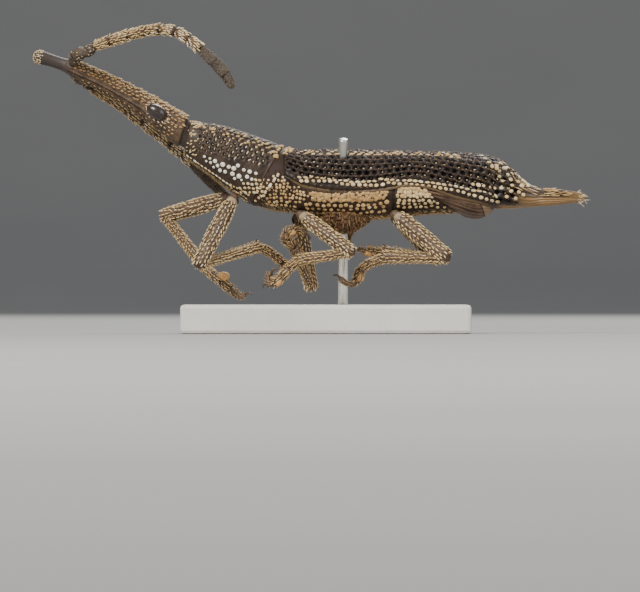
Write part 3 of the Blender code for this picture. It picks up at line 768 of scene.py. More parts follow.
# Hind thorax and abdomen
# The keel under the wing cases is one brown skin thick with round ochre scales. Where the pin
# comes out, the drying tissue was drawn down beside it into a fuzzy cone. Its rows are like those
# of the head, with the share of the height at which it is widest.
UNDERBODY_ROWS = (
    (-1.06, 6.42, -2.06, 4.58, 0.90, 0.50),
    (-0.80, 6.38, -1.90, 4.45, 1.03, 0.50),
    (-0.66, 6.20, -1.52, 4.38, 1.08, 0.60),
    (-0.56, 5.50, -1.10, 4.28, 1.11, 0.80),
    (-0.09, 5.26, -0.19, 4.16, 1.16, 0.80),
    (0.57, 5.14, 0.57, 4.06, 1.17, 0.80),
    (1.27, 5.10, 1.27, 4.00, 1.17, 0.80),
    (2.14, 5.10, 2.14, 3.99, 1.17, 0.80),
    (2.92, 5.16, 2.92, 4.04, 1.17, 0.80),
    (3.36, 5.24, 3.80, 4.13, 1.16, 0.80),
    (3.66, 5.26, 4.70, 4.18, 1.16, 0.80),
    (3.86, 5.20, 5.14, 4.20, 1.12, 0.80),
)
# x, z and radius of the tissue cone
TISSUE_ROWS = (
    (1.20, 4.45, 0.96), (1.20, 4.20, 1.02), (1.20, 4.04, 0.94), (1.20, 3.91, 0.68),
    (1.20, 3.75, 0.47), (1.20, 3.55, 0.33), (1.20, 3.32, 0.24), (1.20, 3.14, 0.20),
)
# z, first and last x, pitch, width and tint of each row of round scales
OCHRE_ROWS = (
    (4.91, 0.05, 2.75, 0.08, 0.12, 0.36), (4.84, 0.10, 2.75, 0.08, 0.12, 0.32),
    (4.76, 0.15, 2.70, 0.08, 0.12, 0.36), (4.69, 0.10, 2.60, 0.09, 0.12, 0.32),
    (5.04, 3.05, 3.80, 0.10, 0.12, 0.46), (4.97, 3.10, 3.95, 0.10, 0.12, 0.44),
    (4.54, -0.10, 2.75, 0.20, 0.15, 0.44),
    (4.40, -0.20, 2.70, 0.22, 0.14, 0.40), (4.27, -0.10, 2.75, 0.21, 0.145, 0.46),
    (5.43, -1.30, -0.80, 0.12, 0.10, 0.62),
    (5.30, -1.40, -0.72, 0.12, 0.10, 0.60), (5.18, -1.49, -0.60, 0.12, 0.10, 0.48),
    (5.06, -1.57, -0.30, 0.12, 0.10, 0.50), (4.94, -1.64, -0.10, 0.12, 0.10, 0.44),
    (4.82, -1.70, 0.00, 0.12, 0.10, 0.50), (4.70, -1.77, -0.05, 0.13, 0.11, 0.46),
    (4.57, -1.82, -0.25, 0.15, 0.12, 0.46), (4.44, -1.66, -0.35, 0.16, 0.12, 0.44),
    (5.02, 3.02, 3.90, 0.10, 0.12, 0.60), (4.95, 3.06, 4.05, 0.10, 0.13, 0.62),
    (4.88, 3.10, 4.15, 0.11, 0.13, 0.64), (4.81, 3.05, 4.25, 0.11, 0.13, 0.66),
    (4.73, 3.10, 4.35, 0.13, 0.13, 0.66), (4.62, 3.05, 4.45, 0.17, 0.13, 0.66),
    (4.50, 3.10, 4.50, 0.19, 0.13, 0.64), (4.38, 3.05, 4.70, 0.19, 0.12, 0.60),
)
# x and depth of the seams between its parts, and how the rows of scales sag between them
SEAMS = ((-0.62, 1.0), (2.95, 0.7))
SAG = 0.11
SAG_START = -0.6
SAG_LENGTH = 3.35
# z and x of the raised hind edge of the plate behind the pronotum
RIDGE_Z = (4.74, 5.00, 5.26, 5.50)
RIDGE_X = (-1.60, -1.42, -1.22, -1.05)
# the pin's upper end, and how far its y moves for each mm down
PIN_TOP = (1.20, -0.92, 6.73)
PIN_LEAN = 0.3406


def tube_table(points, radii, stations, around, flat=1.0, up=(0, 0, 1)):
    """Rings of points along a path, each from its upper side round"""
    rows = smooth_rows([(*point, radius) for point, radius in zip(points, radii)])
    rows = even(rows, rows[:, :3], stations)
    line = rows[:, :3]
    ahead = np.gradient(line, axis=0)
    ahead /= np.linalg.norm(ahead, axis=1, keepdims=True)
    upper = np.array(up, float)
    angle = np.linspace(0, 2 * math.pi, around + 1)
    rings = []
    for middle, forward, radius in zip(line, ahead, rows[:, 3]):
        upper = upper - forward * (upper @ forward)
        upper /= np.linalg.norm(upper)
        aside = np.cross(forward, upper)
        rings.append(
            middle
            + np.cos(angle)[:, None] * upper * radius
            + np.sin(angle)[:, None] * aside * radius * flat
        )
    return np.array(rings)


underbody_table = body_table(UNDERBODY_ROWS, 150, 120, 0.88)
u, v = shares(underbody_table)
side_share = np.minimum(v, 1 - v)
x_here = underbody_table[:, :, 0]
side_part = window(side_share, 0.2, 0.6, 0.03)
underbody_relief = 0.012 * rng.standard_normal(u.shape) * side_part
notch = sum(deep * np.exp(-((x_here - x_seam) / 0.05) ** 2) for x_seam, deep in SEAMS)
underbody_relief -= 0.06 * notch * side_part
height = underbody_table[:, :, 2]
off_ridge = x_here - np.interp(height, RIDGE_Z, RIDGE_X)
underbody_relief += 0.07 * np.exp(-(off_ridge / 0.06) ** 2) * window(height, 4.7, 5.56, 0.1)
underbody_table = raised(underbody_table, underbody_relief)
front_face = window(x_here, -2.5, -0.5, 0.1) * window(underbody_table[:, :, 2], 5.15, 7, 0.2)
underbody = skin("underbody", underbody_table, underbody_relief, front_face)
underbody_finish = hard_skin(
    "underbody_skin", (0.008, 0.005, 0.004), (0.06, 0.032, 0.017), -0.04, 0.03, 0.62,
    accent=(0.028, 0.014, 0.008), gloss=0.25,
)
wear(underbody, underbody_finish, "brown_cuticle", "thorax", "abdomen")

tissue_points = [
    (x, PIN_TOP[1] + (PIN_TOP[2] - z) * PIN_LEAN + 0.24 * min(max((4.1 - z) / 0.4, 0), 1), z)
    for x, z, radius in TISSUE_ROWS
]
tissue_table = tube_table(tissue_points, [row[2] for row in TISSUE_ROWS], 60, 72, 0.8, (1, 0, 0))
u, v = shares(tissue_table)
tissue_relief = 0.03 * rng.standard_normal(u.shape)
tissue_relief += 0.04 * np.cos(v * math.tau * 9 + 2 * np.sin(u * 9)) * np.cos(u * 14)
tissue_table = raised(tissue_table, tissue_relief)
tissue = skin("tissue_on_pin", tissue_table, tissue_relief)
tissue_finish = hard_skin(
    "tissue_brown", (0.02, 0.009, 0.005), (0.15, 0.075, 0.034), -0.07, 0.08, 0.75
)
wear(tissue, tissue_finish, "brown_cuticle")

underbody_parts = []
for side in (-1, 1):
    for number, (z, x_start, x_end, pitch, across, tint) in enumerate(OCHRE_ROWS):
        x_spots = np.arange(x_start + 0.5 * pitch * (number % 2), x_end, pitch)
        x_spots = x_spots[np.abs(x_spots - np.interp(z, RIDGE_Z, RIDGE_X)) > 0.1]
        sag = SAG * np.sin(math.pi * np.clip((x_spots - SAG_START) / SAG_LENGTH, 0, 1))
        x_spots = x_spots + rng.normal(0, 0.016, len(x_spots))
        z_spots = z - sag + rng.normal(0, 0.016, len(x_spots))
        places = np.stack([x_spots, z_spots], axis=1)
        spots = seen_from_side(underbody_table, places, side)
        underbody_parts.append(laid(
            round_scale, underbody_table, spots, across, across * 0.9, 3, tint, (0, 0.7)
        ))
    ridge_line = np.linspace(RIDGE_Z[0], RIDGE_Z[-1], 13)
    places = np.stack([np.interp(ridge_line, RIDGE_Z, RIDGE_X), ridge_line], axis=1)
    spots = seen_from_side(underbody_table, places, side)
    underbody_parts.append(laid(
        round_scale, underbody_table, spots, 0.105, 0.085, 3, 0.8, (0, 0.7)
    ))
keel_rows = rows_of_spots(underbody_table, -0.3, 4.6, (0.42, 0.445, 0.47, 0.495), 0.2)
fuzz_rows = rows_of_spots(underbody_table, -1.2, 4.8, (0.385, 0.41, 0.44, 0.47, 0.495), 0.07, 0.4)
fibre_u = rng.random(1500) ** 1.7
fibre_v = rng.random(1500)
underbody_parts += [
    laid(round_scale, underbody_table, keel_rows, 0.12, 0.1, 3, 0.45, (0, 0.7)),
    laid(bristle, underbody_table, fuzz_rows, 0.13, 0.018, 32, 0.45, (0, 0.7), 0.5),
    laid(bristle, tissue_table, (fibre_u, fibre_v), 0.14, 0.02, 26, 0.22, (0.75, 1), 0.6),
]
underbody_coat = scale_finish("underbody_scales", SCALE_TONES)
coat("underbody_scales", underbody_parts, underbody_coat, "brown_cuticle")

# Last plate of the abdomen
# A bare chestnut plate that bulges under the tail like the stern of a boat, finely scratched along
# its length and paler at its lip. Its rows are like those of the thorax.
VENTRITE_ROWS = (
    (3.72, 5.16, 5.14, 4.23, 1.15, 0.80),
    (3.84, 5.16, 5.24, 4.18, 1.16, 0.80),
    (4.50, 5.05, 5.46, 4.03, 1.12, 0.80),
    (5.30, 4.78, 5.84, 3.98, 1.03, 0.80),
    (5.90, 4.62, 6.12, 4.06, 0.90, 0.80),
    (6.24, 4.52, 6.34, 4.20, 0.70, 0.80),
    (6.38, 4.46, 6.42, 4.32, 0.40, 0.80),
)
ventrite_table = body_table(VENTRITE_ROWS, 110, 150, 0.88)
u, v = shares(ventrite_table)
streak = np.cos(v * math.tau * 27 + 1.6 * np.sin(u * 6)) + np.cos(v * math.tau * 19 - u * 5)
ventrite_relief = 0.009 * streak
ventrite_relief += 0.005 * rng.standard_normal(u.shape)
ventrite_relief -= 0.05 * np.exp(-((u - 0.76 - 0.05 * np.sin(v * math.tau)) / 0.012) ** 2)
ventrite_table = raised(ventrite_table, ventrite_relief)
lip = np.clip((u - 0.8) / 0.05, 0, 0.6)
ventrite = skin("last_plate", ventrite_table, ventrite_relief, lip)
ventrite_finish = hard_skin(
    "chestnut_plate", (0.022, 0.011, 0.006), (0.165, 0.094, 0.05), -0.018, 0.02, 0.4,
    accent=(0.34, 0.22, 0.13), gloss=0.4,
)
wear(ventrite, ventrite_finish, "smooth_ventrite", "last_ventrite")

# Wing cases
# Two hard dark cases meet along the middle of the back. Each has rows of deep round pits between
# raised ribs, a scale in each pit, and runs out behind into a long tail spur. Each row is x, top
# z, lower edge z, z of the whole body's underside, half width, inner edge, share of spur.
WING_ROWS = (
    (-0.88, 6.30, 5.46, 4.45, 0.94, 0.04, 0),
    (-0.84, 6.36, 5.40, 4.40, 1.05, 0.02, 0),
    (-0.70, 6.38, 5.33, 4.33, 1.14, 0.02, 0),
    (-0.09, 6.34, 5.02, 4.19, 1.18, 0.02, 0),
    (1.09, 6.36, 4.84, 4.06, 1.18, 0.02, 0),
    (2.31, 6.32, 4.88, 4.04, 1.20, 0.02, 0),
    (3.56, 6.29, 5.08, 4.14, 1.20, 0.02, 0),
    (4.39, 6.28, 4.92, 4.16, 1.20, 0.02, 0),
    (5.09, 6.26, 4.66, 4.09, 1.19, 0.02, 0),
    (6.02, 6.17, 4.45, 4.19, 1.16, 0.02, 0),
    (6.51, 6.05, 4.32, 4.28, 1.13, 0.02, 0),
    (6.82, 5.90, 4.30, 4.29, 1.11, 0.02, 0),
    (7.17, 5.58, 4.32, 4.31, 1.08, 0.02, 0.05),
    (7.52, 5.26, 4.37, 4.36, 1.08, 0.06, 0.2),
    (7.80, 5.10, 4.40, 4.39, 1.13, 0.26, 0.5),
    (8.02, 5.04, 4.42, 4.41, 1.20, 0.60, 0.85),
    (8.20, 5.01, 4.43, 4.42, 1.22, 0.78, 1),
    (8.66, 4.97, 4.47, 4.47, 1.17, 0.78, 1),
    (9.10, 4.92, 4.53, 4.53, 1.07, 0.72, 1),
    (9.40, 4.86, 4.56, 4.56, 0.96, 0.68, 1),
    (9.54, 4.80, 4.61, 4.61, 0.87, 0.68, 1),
    (9.60, 4.73, 4.67, 4.67, 0.80, 0.73, 1),
)
PIT_ROWS = 11
PIT_PITCH = 0.265
FIRST_PIT_X = -0.5
WING_PIT_RADIUS = 0.062
OUTER_COLUMNS = 110
INNER_COLUMNS = 24
WING_SQUARENESS = 0.82
SPUR_START = 7.3
# x and z along each line of scales on the sides, and each scale of the cluster before the spur
SIDE_LINES = (
    ((-0.24, 5.28), (0.64, 5.28), (1.27, 5.17), (2.41, 5.12), (2.75, 5.22), (4.08, 5.13),
     (4.92, 4.98), (5.93, 4.73), (6.62, 4.55)),
    ((-0.40, 5.41), (0.22, 5.40), (0.92, 5.30), (1.59, 5.25), (2.16, 5.25), (2.56, 5.34),
     (3.77, 5.27), (4.97, 5.13), (5.60, 4.98), (6.16, 4.86), (6.52, 4.76)),
    ((5.67, 5.17), (6.30, 5.06), (6.93, 5.00)),
)
CLUSTER = (
    (6.34, 5.79), (6.51, 5.69), (6.61, 5.62), (6.82, 5.69), (6.89, 5.51), (6.61, 5.44),
    (6.99, 5.34), (7.24, 5.24), (7.38, 5.10), (7.59, 5.10), (6.72, 5.27), (7.06, 5.12),
    (7.02, 4.92), (7.30, 4.90), (6.85, 4.75), (7.16, 4.68), (7.45, 4.80),
)


def wing_table(side):
    """Rings of points round one wing case, from the suture out to the lower edge and back"""
    rows = smooth_rows(WING_ROWS)
    rows = even(rows, rows[:, [0, 1]] * (1, 0.35), 330)
    rings = []
    for x, top, lower, underside, half_width, inner, spur in rows:
        centre = (top + underside) / 2
        half_height = (top - underside) / 2
        drop = np.clip((centre - lower) / half_height, -1, 1)
        sine = np.sign(drop) * abs(drop) ** (1 / WING_SQUARENESS)
        start = -min(math.asin(sine), math.radians(72))
        angle = np.linspace(math.pi / 2, start, 160)
        across = np.clip(np.cos(angle), 0, 1) ** WING_SQUARENESS
        across = inner + across * (half_width - inner)
        rise = np.sign(np.sin(angle)) * np.abs(np.sin(angle)) ** WING_SQUARENESS * half_height
        outer = np.stack([np.full(160, x), across, centre + rise], axis=1)
        outer = even(outer, outer, OUTER_COLUMNS + 1)
        corner = np.array([x, inner, outer[-1, 2]])
        closing = np.array([outer[-1], corner, outer[0]])
        closing = even(closing, closing, INNER_COLUMNS + 1)[1:]
        shell = np.concatenate([outer, closing])
        turn = np.concatenate([
            np.linspace(130, -80, OUTER_COLUMNS + 1), np.linspace(-80, -230, INNER_COLUMNS + 1)[1:]
        ])
        turn = np.radians(turn)
        spine = np.stack([
            np.full(len(turn), x),
            (half_width + inner) / 2 + np.cos(turn) * (half_width - inner) / 2,
            (top + lower) / 2 + np.sin(turn) * (top - lower) / 2,
        ], axis=1)
        share = spur * spur * (3 - 2 * spur)
        rings.append((shell * (1 - share) + spine * share) * (1, side, 1))
    return np.array(rings)


# The pits are painted near black as shade, and the ribs lighter as painted highlight.
wing_finish = hard_skin(
    "wing_case_skin", (0.003, 0.002, 0.002), (0.045, 0.027, 0.018), -0.05, 0.06, 0.4,
    accent=(0.30, 0.18, 0.075),
)
wing_coat = scale_finish("wing_case_scales", SCALE_TONES)
whole = OUTER_COLUMNS + INNER_COLUMNS


def along_wing(x, stations):
    """Share along a wing case at an x"""
    return np.interp(x, stations, np.linspace(0, 1, len(stations)))


def round_wing(outer_share):
    """Share round a wing case at a share of its outside, from the suture to the lower edge"""
    return outer_share * OUTER_COLUMNS / whole


for side, word in ((-1, "left"), (1, "right")):
    base_table = wing_table(side)
    u, v = shares(base_table)
    outer_share = v * whole / OUTER_COLUMNS
    x_here = base_table[:, :, 0]
    on_case = window(x_here, -0.76, 7.25, 0.1) * window(outer_share, 0.02, 0.97, 0.02)
    distance = from_pits(x_here - FIRST_PIT_X, outer_share, PIT_PITCH, PIT_ROWS, 0.175)
    rib = np.cos(outer_share * math.tau * PIT_ROWS)
    shallow = 1 - 0.85 * window(outer_share, 0.8, 1.2, 0.04)
    shallow = shallow - 0.4 * window(outer_share, 0.1, 0.36, 0.04)
    wing_relief = 0.026 * rib + 0.02 - 0.12 * np.exp(-(distance / WING_PIT_RADIUS) ** 2)
    wing_relief *= on_case * shallow
    wing_relief += 0.016 * rng.standard_normal(u.shape) * on_case * shallow
    on_spur = window(x_here, SPUR_START, 9.7, 0.6) * window(outer_share, -0.1, 2, 0.1)
    wing_relief += 0.012 * np.cos(v * math.tau * 16) * on_spur
    wing_relief -= 0.04 * np.exp(-((outer_share - 0.95) / 0.01) ** 2) * on_case
    table = raised(base_table, wing_relief)
    ochre = window(x_here, SPUR_START, 9.9, 0.7)
    ochre *= 0.08 + 0.92 * window(outer_share, 0.64, 1.3, 0.14)
    ochre = np.maximum(ochre, 0.75 * window(x_here, 9.0, 9.9, 0.8))
    lower_edge = 0.9 * window(x_here, 6.6, 8.2, 0.4) * window(outer_share, 0.87, 1.4, 0.05)
    ochre = np.maximum(ochre, lower_edge)
    rim = window(outer_share, 0.94, 1.4, 0.03)
    ochre = np.maximum(ochre, 0.28 * rim * window(x_here, -0.6, 8, 0.3))
    wing = skin(f"{word}_wing_case", table, wing_relief, ochre)
    wear(wing, wing_finish, "dark_wing_case", f"{word}_elytron")

    stations = x_here[:, 0]
    parts = []
    for row in range(PIT_ROWS):
        x_pit = FIRST_PIT_X + (np.arange(32) - 0.5 * (row % 2)) * PIT_PITCH
        x_pit = x_pit[(x_pit > -0.75) & (x_pit < 7.2)]
        spots_v = np.full(len(x_pit), round_wing((row + 0.5) / PIT_ROWS))
        spots = np.stack([along_wing(x_pit, stations), spots_v])
        if row in (1, 2, 3):
            bare = ((x_pit > 2.7) & (x_pit < 3.8)) | ((x_pit > 4.4) & (x_pit < 6.6))
            kept = ~bare | (rng.random(len(x_pit)) < (0.15, 0.45, 0.6)[row - 1])
            kept &= rng.random(len(x_pit)) < 0.92
            tint = 0.55 + 0.2 * (row == 1)
            parts.append(laid(
                round_scale, table, spots[:, kept], 0.165, 0.14, 3, tint, sunk=-0.06
            ))
        elif row < 9:
            kept = rng.random(len(x_pit)) < 0.8
            parts.append(laid(
                leaf_scale, table, spots[:, kept], 0.085, 0.045, 25, 0.78, turn=0.5, sunk=-0.02
            ))
    for number, line in enumerate(SIDE_LINES):
        line = np.array(line)
        x_line = np.arange(line[0, 0] + 0.1 * (number % 2), line[-1, 0], 0.2)
        z_line = np.interp(x_line, line[:, 0], line[:, 1]) + rng.normal(0, 0.006, len(x_line))
        side_spots = seen_from_side(table, list(zip(x_line, z_line)), side)
        long, wide = ((0.14, 0.11), (0.17, 0.085), (0.15, 0.12))[number]
        parts.append(laid(round_scale, table, side_spots, long, wide, 3, 0.68, sunk=-0.015))
    cluster_spots = seen_from_side(table, CLUSTER, side)
    parts.append(laid(round_scale, table, cluster_spots, 0.15, 0.125, 4, 0.68, sunk=-0.02))
    edge_u = along_wing(rng.uniform(-0.87, -0.6, 30), stations)
    edge_v = round_wing(rng.uniform(0.03, 0.42, 30))
    parts.append(laid(leaf_scale, table, (edge_u, edge_v), 0.12, 0.08, 12, 0.55, turn=0.5))
    shoulder_u = along_wing(rng.uniform(-0.4, 5.2, 44), stations)
    shoulder_v = round_wing(rng.uniform(0.29, 0.37, 44))
    parts.append(laid(
        leaf_scale, table, (shoulder_u, shoulder_v), 0.17, 0.06, 10, 0.5, turn=0.25, sunk=-0.03
    ))
    end_u = along_wing(rng.uniform(6.75, 7.6, 14), stations)
    end_v = round_wing(rng.uniform(0.14, 0.33, 14))
    parts.append(laid(round_scale, table, (end_u, end_v), 0.13, 0.10, 4, 0.74, sunk=-0.01))
    crest_u = along_wing(np.arange(-0.5, 7.3, 0.1), stations)
    for row in range(1, PIT_ROWS):
        crest_v = np.full(len(crest_u), round_wing(row / PIT_ROWS))
        kept = rng.random(len(crest_u)) < 0.3
        parts.append(laid(
            bristle, table, (crest_u[kept], crest_v[kept]), 0.07, 0.018, 28, 0.3, turn=0.3
        ))
    spur_u = along_wing(rng.uniform(7.0, 9.45, 84), stations)
    spur_v = rng.uniform(0, 0.5, 84)
    spur_tint = rng.uniform(0.3, 0.66, 84)
    parts.append(laid(leaf_scale, table, (spur_u, spur_v), 0.26, 0.03, 4, spur_tint, turn=0.08))
    tip_u = along_wing(rng.uniform(9.3, 9.56, 34), stations)
    tip_long = np.where(rng.random(34) < 0.25, 0.26, 0.08)
    parts.append(laid(bristle, table, (tip_u, rng.random(34)), tip_long, 0.028, 50, 0.8, turn=0.3))
    coat(f"{word}_wing_case_scales", parts, wing_coat, "dark_wing_case")

# Feelers
# Each starts with a dark bare knob in the side of the snout, runs on as a jointed tube under a coat
# of tan-cream scales, and ends in a grey velvety club. The points run along these three.
FEELERS = {
    "left": (
        ((-8.18, -0.20, 9.28), (-8.10, -0.46, 9.52), (-7.90, -0.78, 9.70), (-7.74, -1.02, 9.68),
         (-7.56, -1.20, 9.80), (-7.42, -1.31, 9.92)),
        ((-7.46, -1.28, 9.90), (-6.90, -1.53, 10.09), (-6.20, -1.80, 10.30), (-5.50, -2.26, 10.45),
         (-4.98, -2.60, 10.47), (-4.53, -2.85, 10.37), (-4.05, -2.99, 10.08), (-3.72, -3.02, 9.81)),
        ((-3.75, -3.02, 9.83), (-3.33, -2.94, 9.44), (-2.96, -2.80, 9.06), (-2.60, -2.58, 8.47)),
    ),
    "right": (
        ((-8.18, 0.20, 9.22), (-8.10, 0.42, 9.02), (-7.94, 0.60, 8.86), (-7.82, 0.70, 8.78),
         (-7.66, 0.77, 8.66), (-7.52, 0.81, 8.56)),
        ((-7.56, 0.80, 8.58), (-7.20, 0.89, 8.34), (-6.58, 1.10, 7.96), (-5.90, 1.32, 7.44),
         (-5.21, 1.56, 6.90), (-4.52, 1.80, 6.33), (-4.06, 1.95, 5.94)),
        ((-4.12, 1.93, 5.99), (-3.70, 2.07, 5.60), (-3.43, 2.17, 5.33), (-2.90, 2.34, 4.76)),
    ),
}
SCAPE_RADII = (0.12, 0.20, 0.22, 0.15, 0.19, 0.13)
STALK_RADII = (0.15, 0.18, 0.18, 0.18, 0.18, 0.18, 0.18, 0.18)
CLUB_RADII = (0.16, 0.19, 0.20, 0.12)
CLUB_JOINTS = (0.36, 0.68)
FEELER_JOINTS = (0.15, 0.31, 0.47, 0.62, 0.76, 0.88)


def rounded(table, share, least=0.01):
    """The table with its two ends drawn in to domes, which are cut off where least is large"""
    stations = len(table)
    u = np.linspace(0, 1, stations)
    near = np.minimum(u, 1 - u) / share
    pull = np.sqrt(np.clip(1 - (1 - np.clip(near, 0, 1)) ** 2, least, 1))
    middle = table.mean(axis=1, keepdims=True)
    return middle + (table - middle) * pull[:, None, None]


def jointed(u, joints, depth, width=0.012):
    """Relief of narrow rings at the joints of a limb, wider before each than after it"""
    relief = np.zeros_like(u)
    edges = (0.0, *joints, 1.0)
    for start, end in zip(edges, edges[1:]):
        inside = (u >= start) & (u < end)
        relief = np.where(inside, depth * 0.8 * ((u - start) / (end - start) - 0.5), relief)
    for joint in joints:
        relief -= depth * np.exp(-((u - joint) / width) ** 2)
    return relief


knob_finish = hard_skin(
    "feeler_knob_skin", (0.02, 0.014, 0.01), (0.14, 0.105, 0.075), -0.03, 0.03, 0.5
)
feeler_finish = hard_skin(
    "feeler_skin", (0.04, 0.02, 0.01), (0.17, 0.1, 0.05), -0.05, 0.03, 0.6
)
club_finish = hard_skin(
    "feeler_club_velvet", (0.035, 0.026, 0.019), (0.13, 0.1, 0.075), -0.03, 0.02, 0.85
)
feeler_coat = scale_finish("feeler_scales", SCALE_TONES)
club_coat = scale_finish(
    "feeler_club_hairs", ((0.08, 0.06, 0.045), (0.17, 0.135, 0.1), (0.3, 0.25, 0.19))
)


def feeler_part(name, points, radii, stations, ends, joints, depth, grain):
    """Part of a feeler as a jointed and grained tube, with its raised table"""
    table = rounded(tube_table(points, radii, stations, 32), ends)
    u = shares(table)[0]
    relief = jointed(u, joints, depth) + grain * rng.standard_normal(u.shape)
    table = raised(table, relief)
    return skin(name, table, relief), table


for word, (scape, middle, club) in FEELERS.items():
    knob, scape_table = feeler_part(
        f"{word}_feeler_knob", scape, SCAPE_RADII, 60, 0.06, (), 0, 0.012
    )
    wear(knob, knob_finish, "brown_cuticle", f"{word}_antenna_scape")
    stalk, middle_table = feeler_part(
        f"{word}_feeler", middle, STALK_RADII, 170, 0.02, FEELER_JOINTS, 0.05, 0.006
    )
    wear(stalk, feeler_finish, "pale_scaled_antenna", f"{word}_antenna")
    tip, club_table = feeler_part(
        f"{word}_feeler_club", club, CLUB_RADII, 70, 0.08, CLUB_JOINTS, 0.025, 0.006
    )
    wear(tip, club_finish, "velvety_club", f"{word}_antenna_club")

    spots_u, spots_v = [], []
    for column in range(15):
        line = np.arange(0.01 + 0.012 * (column % 3), 0.985, 0.034)
        spots_u.append(line + rng.normal(0, 0.004, len(line)))
        spots_v.append(np.full(len(line), column / 15) + rng.normal(0, 0.006, len(line)))
    stalk_spots = np.stack([np.concatenate(spots_u), np.concatenate(spots_v)])
    clear = np.ones(stalk_spots.shape[1], bool)
    for joint in FEELER_JOINTS:
        bare = 0.012 if joint < 0.6 else 0.028
        clear &= (stalk_spots[0] < joint - bare) | (stalk_spots[0] > joint + 0.002)
    stalk_spots = stalk_spots[:, clear]
    knob_spots = (rng.uniform(0.1, 0.95, 50), rng.random(50))
    coat(f"{word}_feeler_scales", [
        laid(leaf_scale, middle_table, stalk_spots, 0.16, 0.042, 5, 0.62 + 0.2 * stalk_spots[0],
             (0, 0.6)),
        laid(bristle, middle_table, (rng.random(240), rng.random(240)), 0.09, 0.018, 24, 0.6,
             (0, 0.6)),
        laid(leaf_scale, scape_table, knob_spots, 0.09, 0.035, 8, 0.6, (0.65, 1)),
    ], feeler_coat, "pale_scaled_antenna")
    coat(f"{word}_feeler_club_hairs", [
        laid(bristle, club_table, (rng.random(1500), rng.random(1500)), 0.05, 0.014, 40, 0.5,
             turn=0.4),
    ], club_coat, "velvety_club")

# Legs
# Six jointed legs, folded under the body as the beetle dried: a round hip, a thick thigh and a
# thin shin under cream scales, and a foot of lobed segments with golden pads and two claws. Each
# has the places of its hip, knee and ankle and the points along its foot.
LEGS = {
    "left_fore": (
        (-2.52, -0.42, 4.85), (-3.77, -1.53, 2.39), (-1.75, 0.45, 3.01),
        ((-1.80, 0.40, 3.00), (-1.55, 0.60, 2.93), (-1.16, 0.87, 2.67), (-0.78, 1.32, 2.28),
         (-0.98, 1.62, 1.95), (-1.37, 1.88, 1.76)),
    ),
    "right_fore": (
        (-2.62, 0.42, 4.75), (-5.02, 2.05, 4.09), (-3.63, 0.35, 2.32),
        ((-3.66, 0.36, 2.36), (-3.45, 0.30, 2.15), (-3.00, 0.21, 1.78), (-2.62, 0.21, 1.47),
         (-2.38, 0.21, 1.28), (-2.20, 0.21, 1.36)),
    ),
    "left_mid": (
        (-0.40, -0.62, 4.22), (1.48, -1.22, 2.81), (-0.33, -0.38, 2.56),
        ((-0.28, -0.38, 2.58), (-0.48, -0.36, 2.44), (-0.80, -0.30, 2.11), (-1.08, -0.24, 1.82),
         (-1.33, -0.18, 1.74), (-1.41, -0.13, 1.93), (-1.30, -0.10, 2.11)),
    ),
    "right_mid": (
        (-0.40, 0.62, 4.22), (0.09, 1.91, 1.62), (-0.50, 0.04, 2.98),
        ((-0.48, 0.06, 2.96), (-0.62, 0.00, 3.08), (-0.80, -0.06, 3.28), (-0.66, -0.10, 3.55),
         (-0.30, -0.10, 3.60), (-0.08, -0.10, 3.45)),
    ),
    "left_hind": (
        (2.86, -0.72, 4.24), (4.77, -1.18, 2.63), (2.59, -0.38, 2.65),
        ((2.64, -0.40, 2.66), (2.42, -0.30, 2.55), (2.07, -0.20, 2.40), (1.80, -0.14, 2.17),
         (1.68, -0.10, 1.86), (1.50, -0.12, 1.70), (1.26, -0.14, 1.77), (1.10, -0.16, 1.93)),
    ),
    "right_hind": (
        (2.86, 0.72, 4.24), (4.57, 1.10, 2.60), (2.59, 0.45, 2.81),
        ((2.64, 0.46, 2.80), (2.40, 0.42, 2.82), (2.10, 0.34, 2.86), (1.88, 0.28, 2.90),
         (1.75, 0.24, 2.93)),
    ),
}
# the leg whose foot shows large golden pads
GOLD_PADS = "right_fore"
# shares along a thigh and its widths there, as shares of its radius
THIGH_PLACES = (0.0, 0.12, 0.3, 0.55, 0.8, 0.97, 1.04)
THIGH_WIDTHS = (0.5, 0.72, 0.96, 1.02, 0.95, 0.92, 0.78)
# widths along a shin, from above the knee to the ankle, as shares of its radius
SHIN_WIDTHS = (0.8, 0.95, 1, 1.12, 1.25)
# shares along a foot, its radii there, and its joints
FOOT_PLACES = (0, 0.2, 0.6, 0.75, 1)
FOOT_RADII = (0.14, 0.15, 0.15, 0.08, 0.085)
FOOT_JOINTS = (0.25, 0.44, 0.62)
HIP_RADIUS = {"fore": 0.30, "mid": 0.28, "hind": 0.31}
THIGH_RADIUS = {"fore": 0.265, "mid": 0.24, "hind": 0.285}
SHIN_RADIUS = {"fore": 0.16, "mid": 0.155, "hind": 0.185}

leg_finish = hard_skin(
    "leg_skin", (0.03, 0.018, 0.011), (0.16, 0.098, 0.058), -0.03, 0.03, 0.5,
    accent=(0.36, 0.27, 0.17),
)
leg_coat = scale_finish("leg_scales", SCALE_TONES)
pad_finish = hard_skin(
    "foot_pad_gold", (0.36, 0.18, 0.055), (0.64, 0.39, 0.15), -0.02, 0.02, 0.6
)


def limb(name, points, radii, stations, around, ribs, ends=0.04, joints=(), pale=0.0):
    """Part of a leg as a ribbed tube, with its raised table"""
    table = rounded(tube_table(points, radii, stations, around), ends)
    u, v = shares(table)
    relief = 0.01 * np.cos(v * math.tau * ribs) + 0.006 * rng.standard_normal(u.shape)
    if joints:
        relief += jointed(u, joints, 0.05, 0.02)
    table = raised(table, relief)
    return skin(name, table, relief, np.full(relief.shape, pale)), table


def joined(pieces, name):
    """One piece of several"""
    bpy.ops.object.select_all(action="DESELECT")
    for piece in pieces:
        piece.select_set(True)
    bpy.context.view_layer.objects.active = pieces[0]
    bpy.ops.object.join()
    whole_piece = bpy.context.object
    whole_piece.name = name
    whole_piece.data.name = name
    return whole_piece


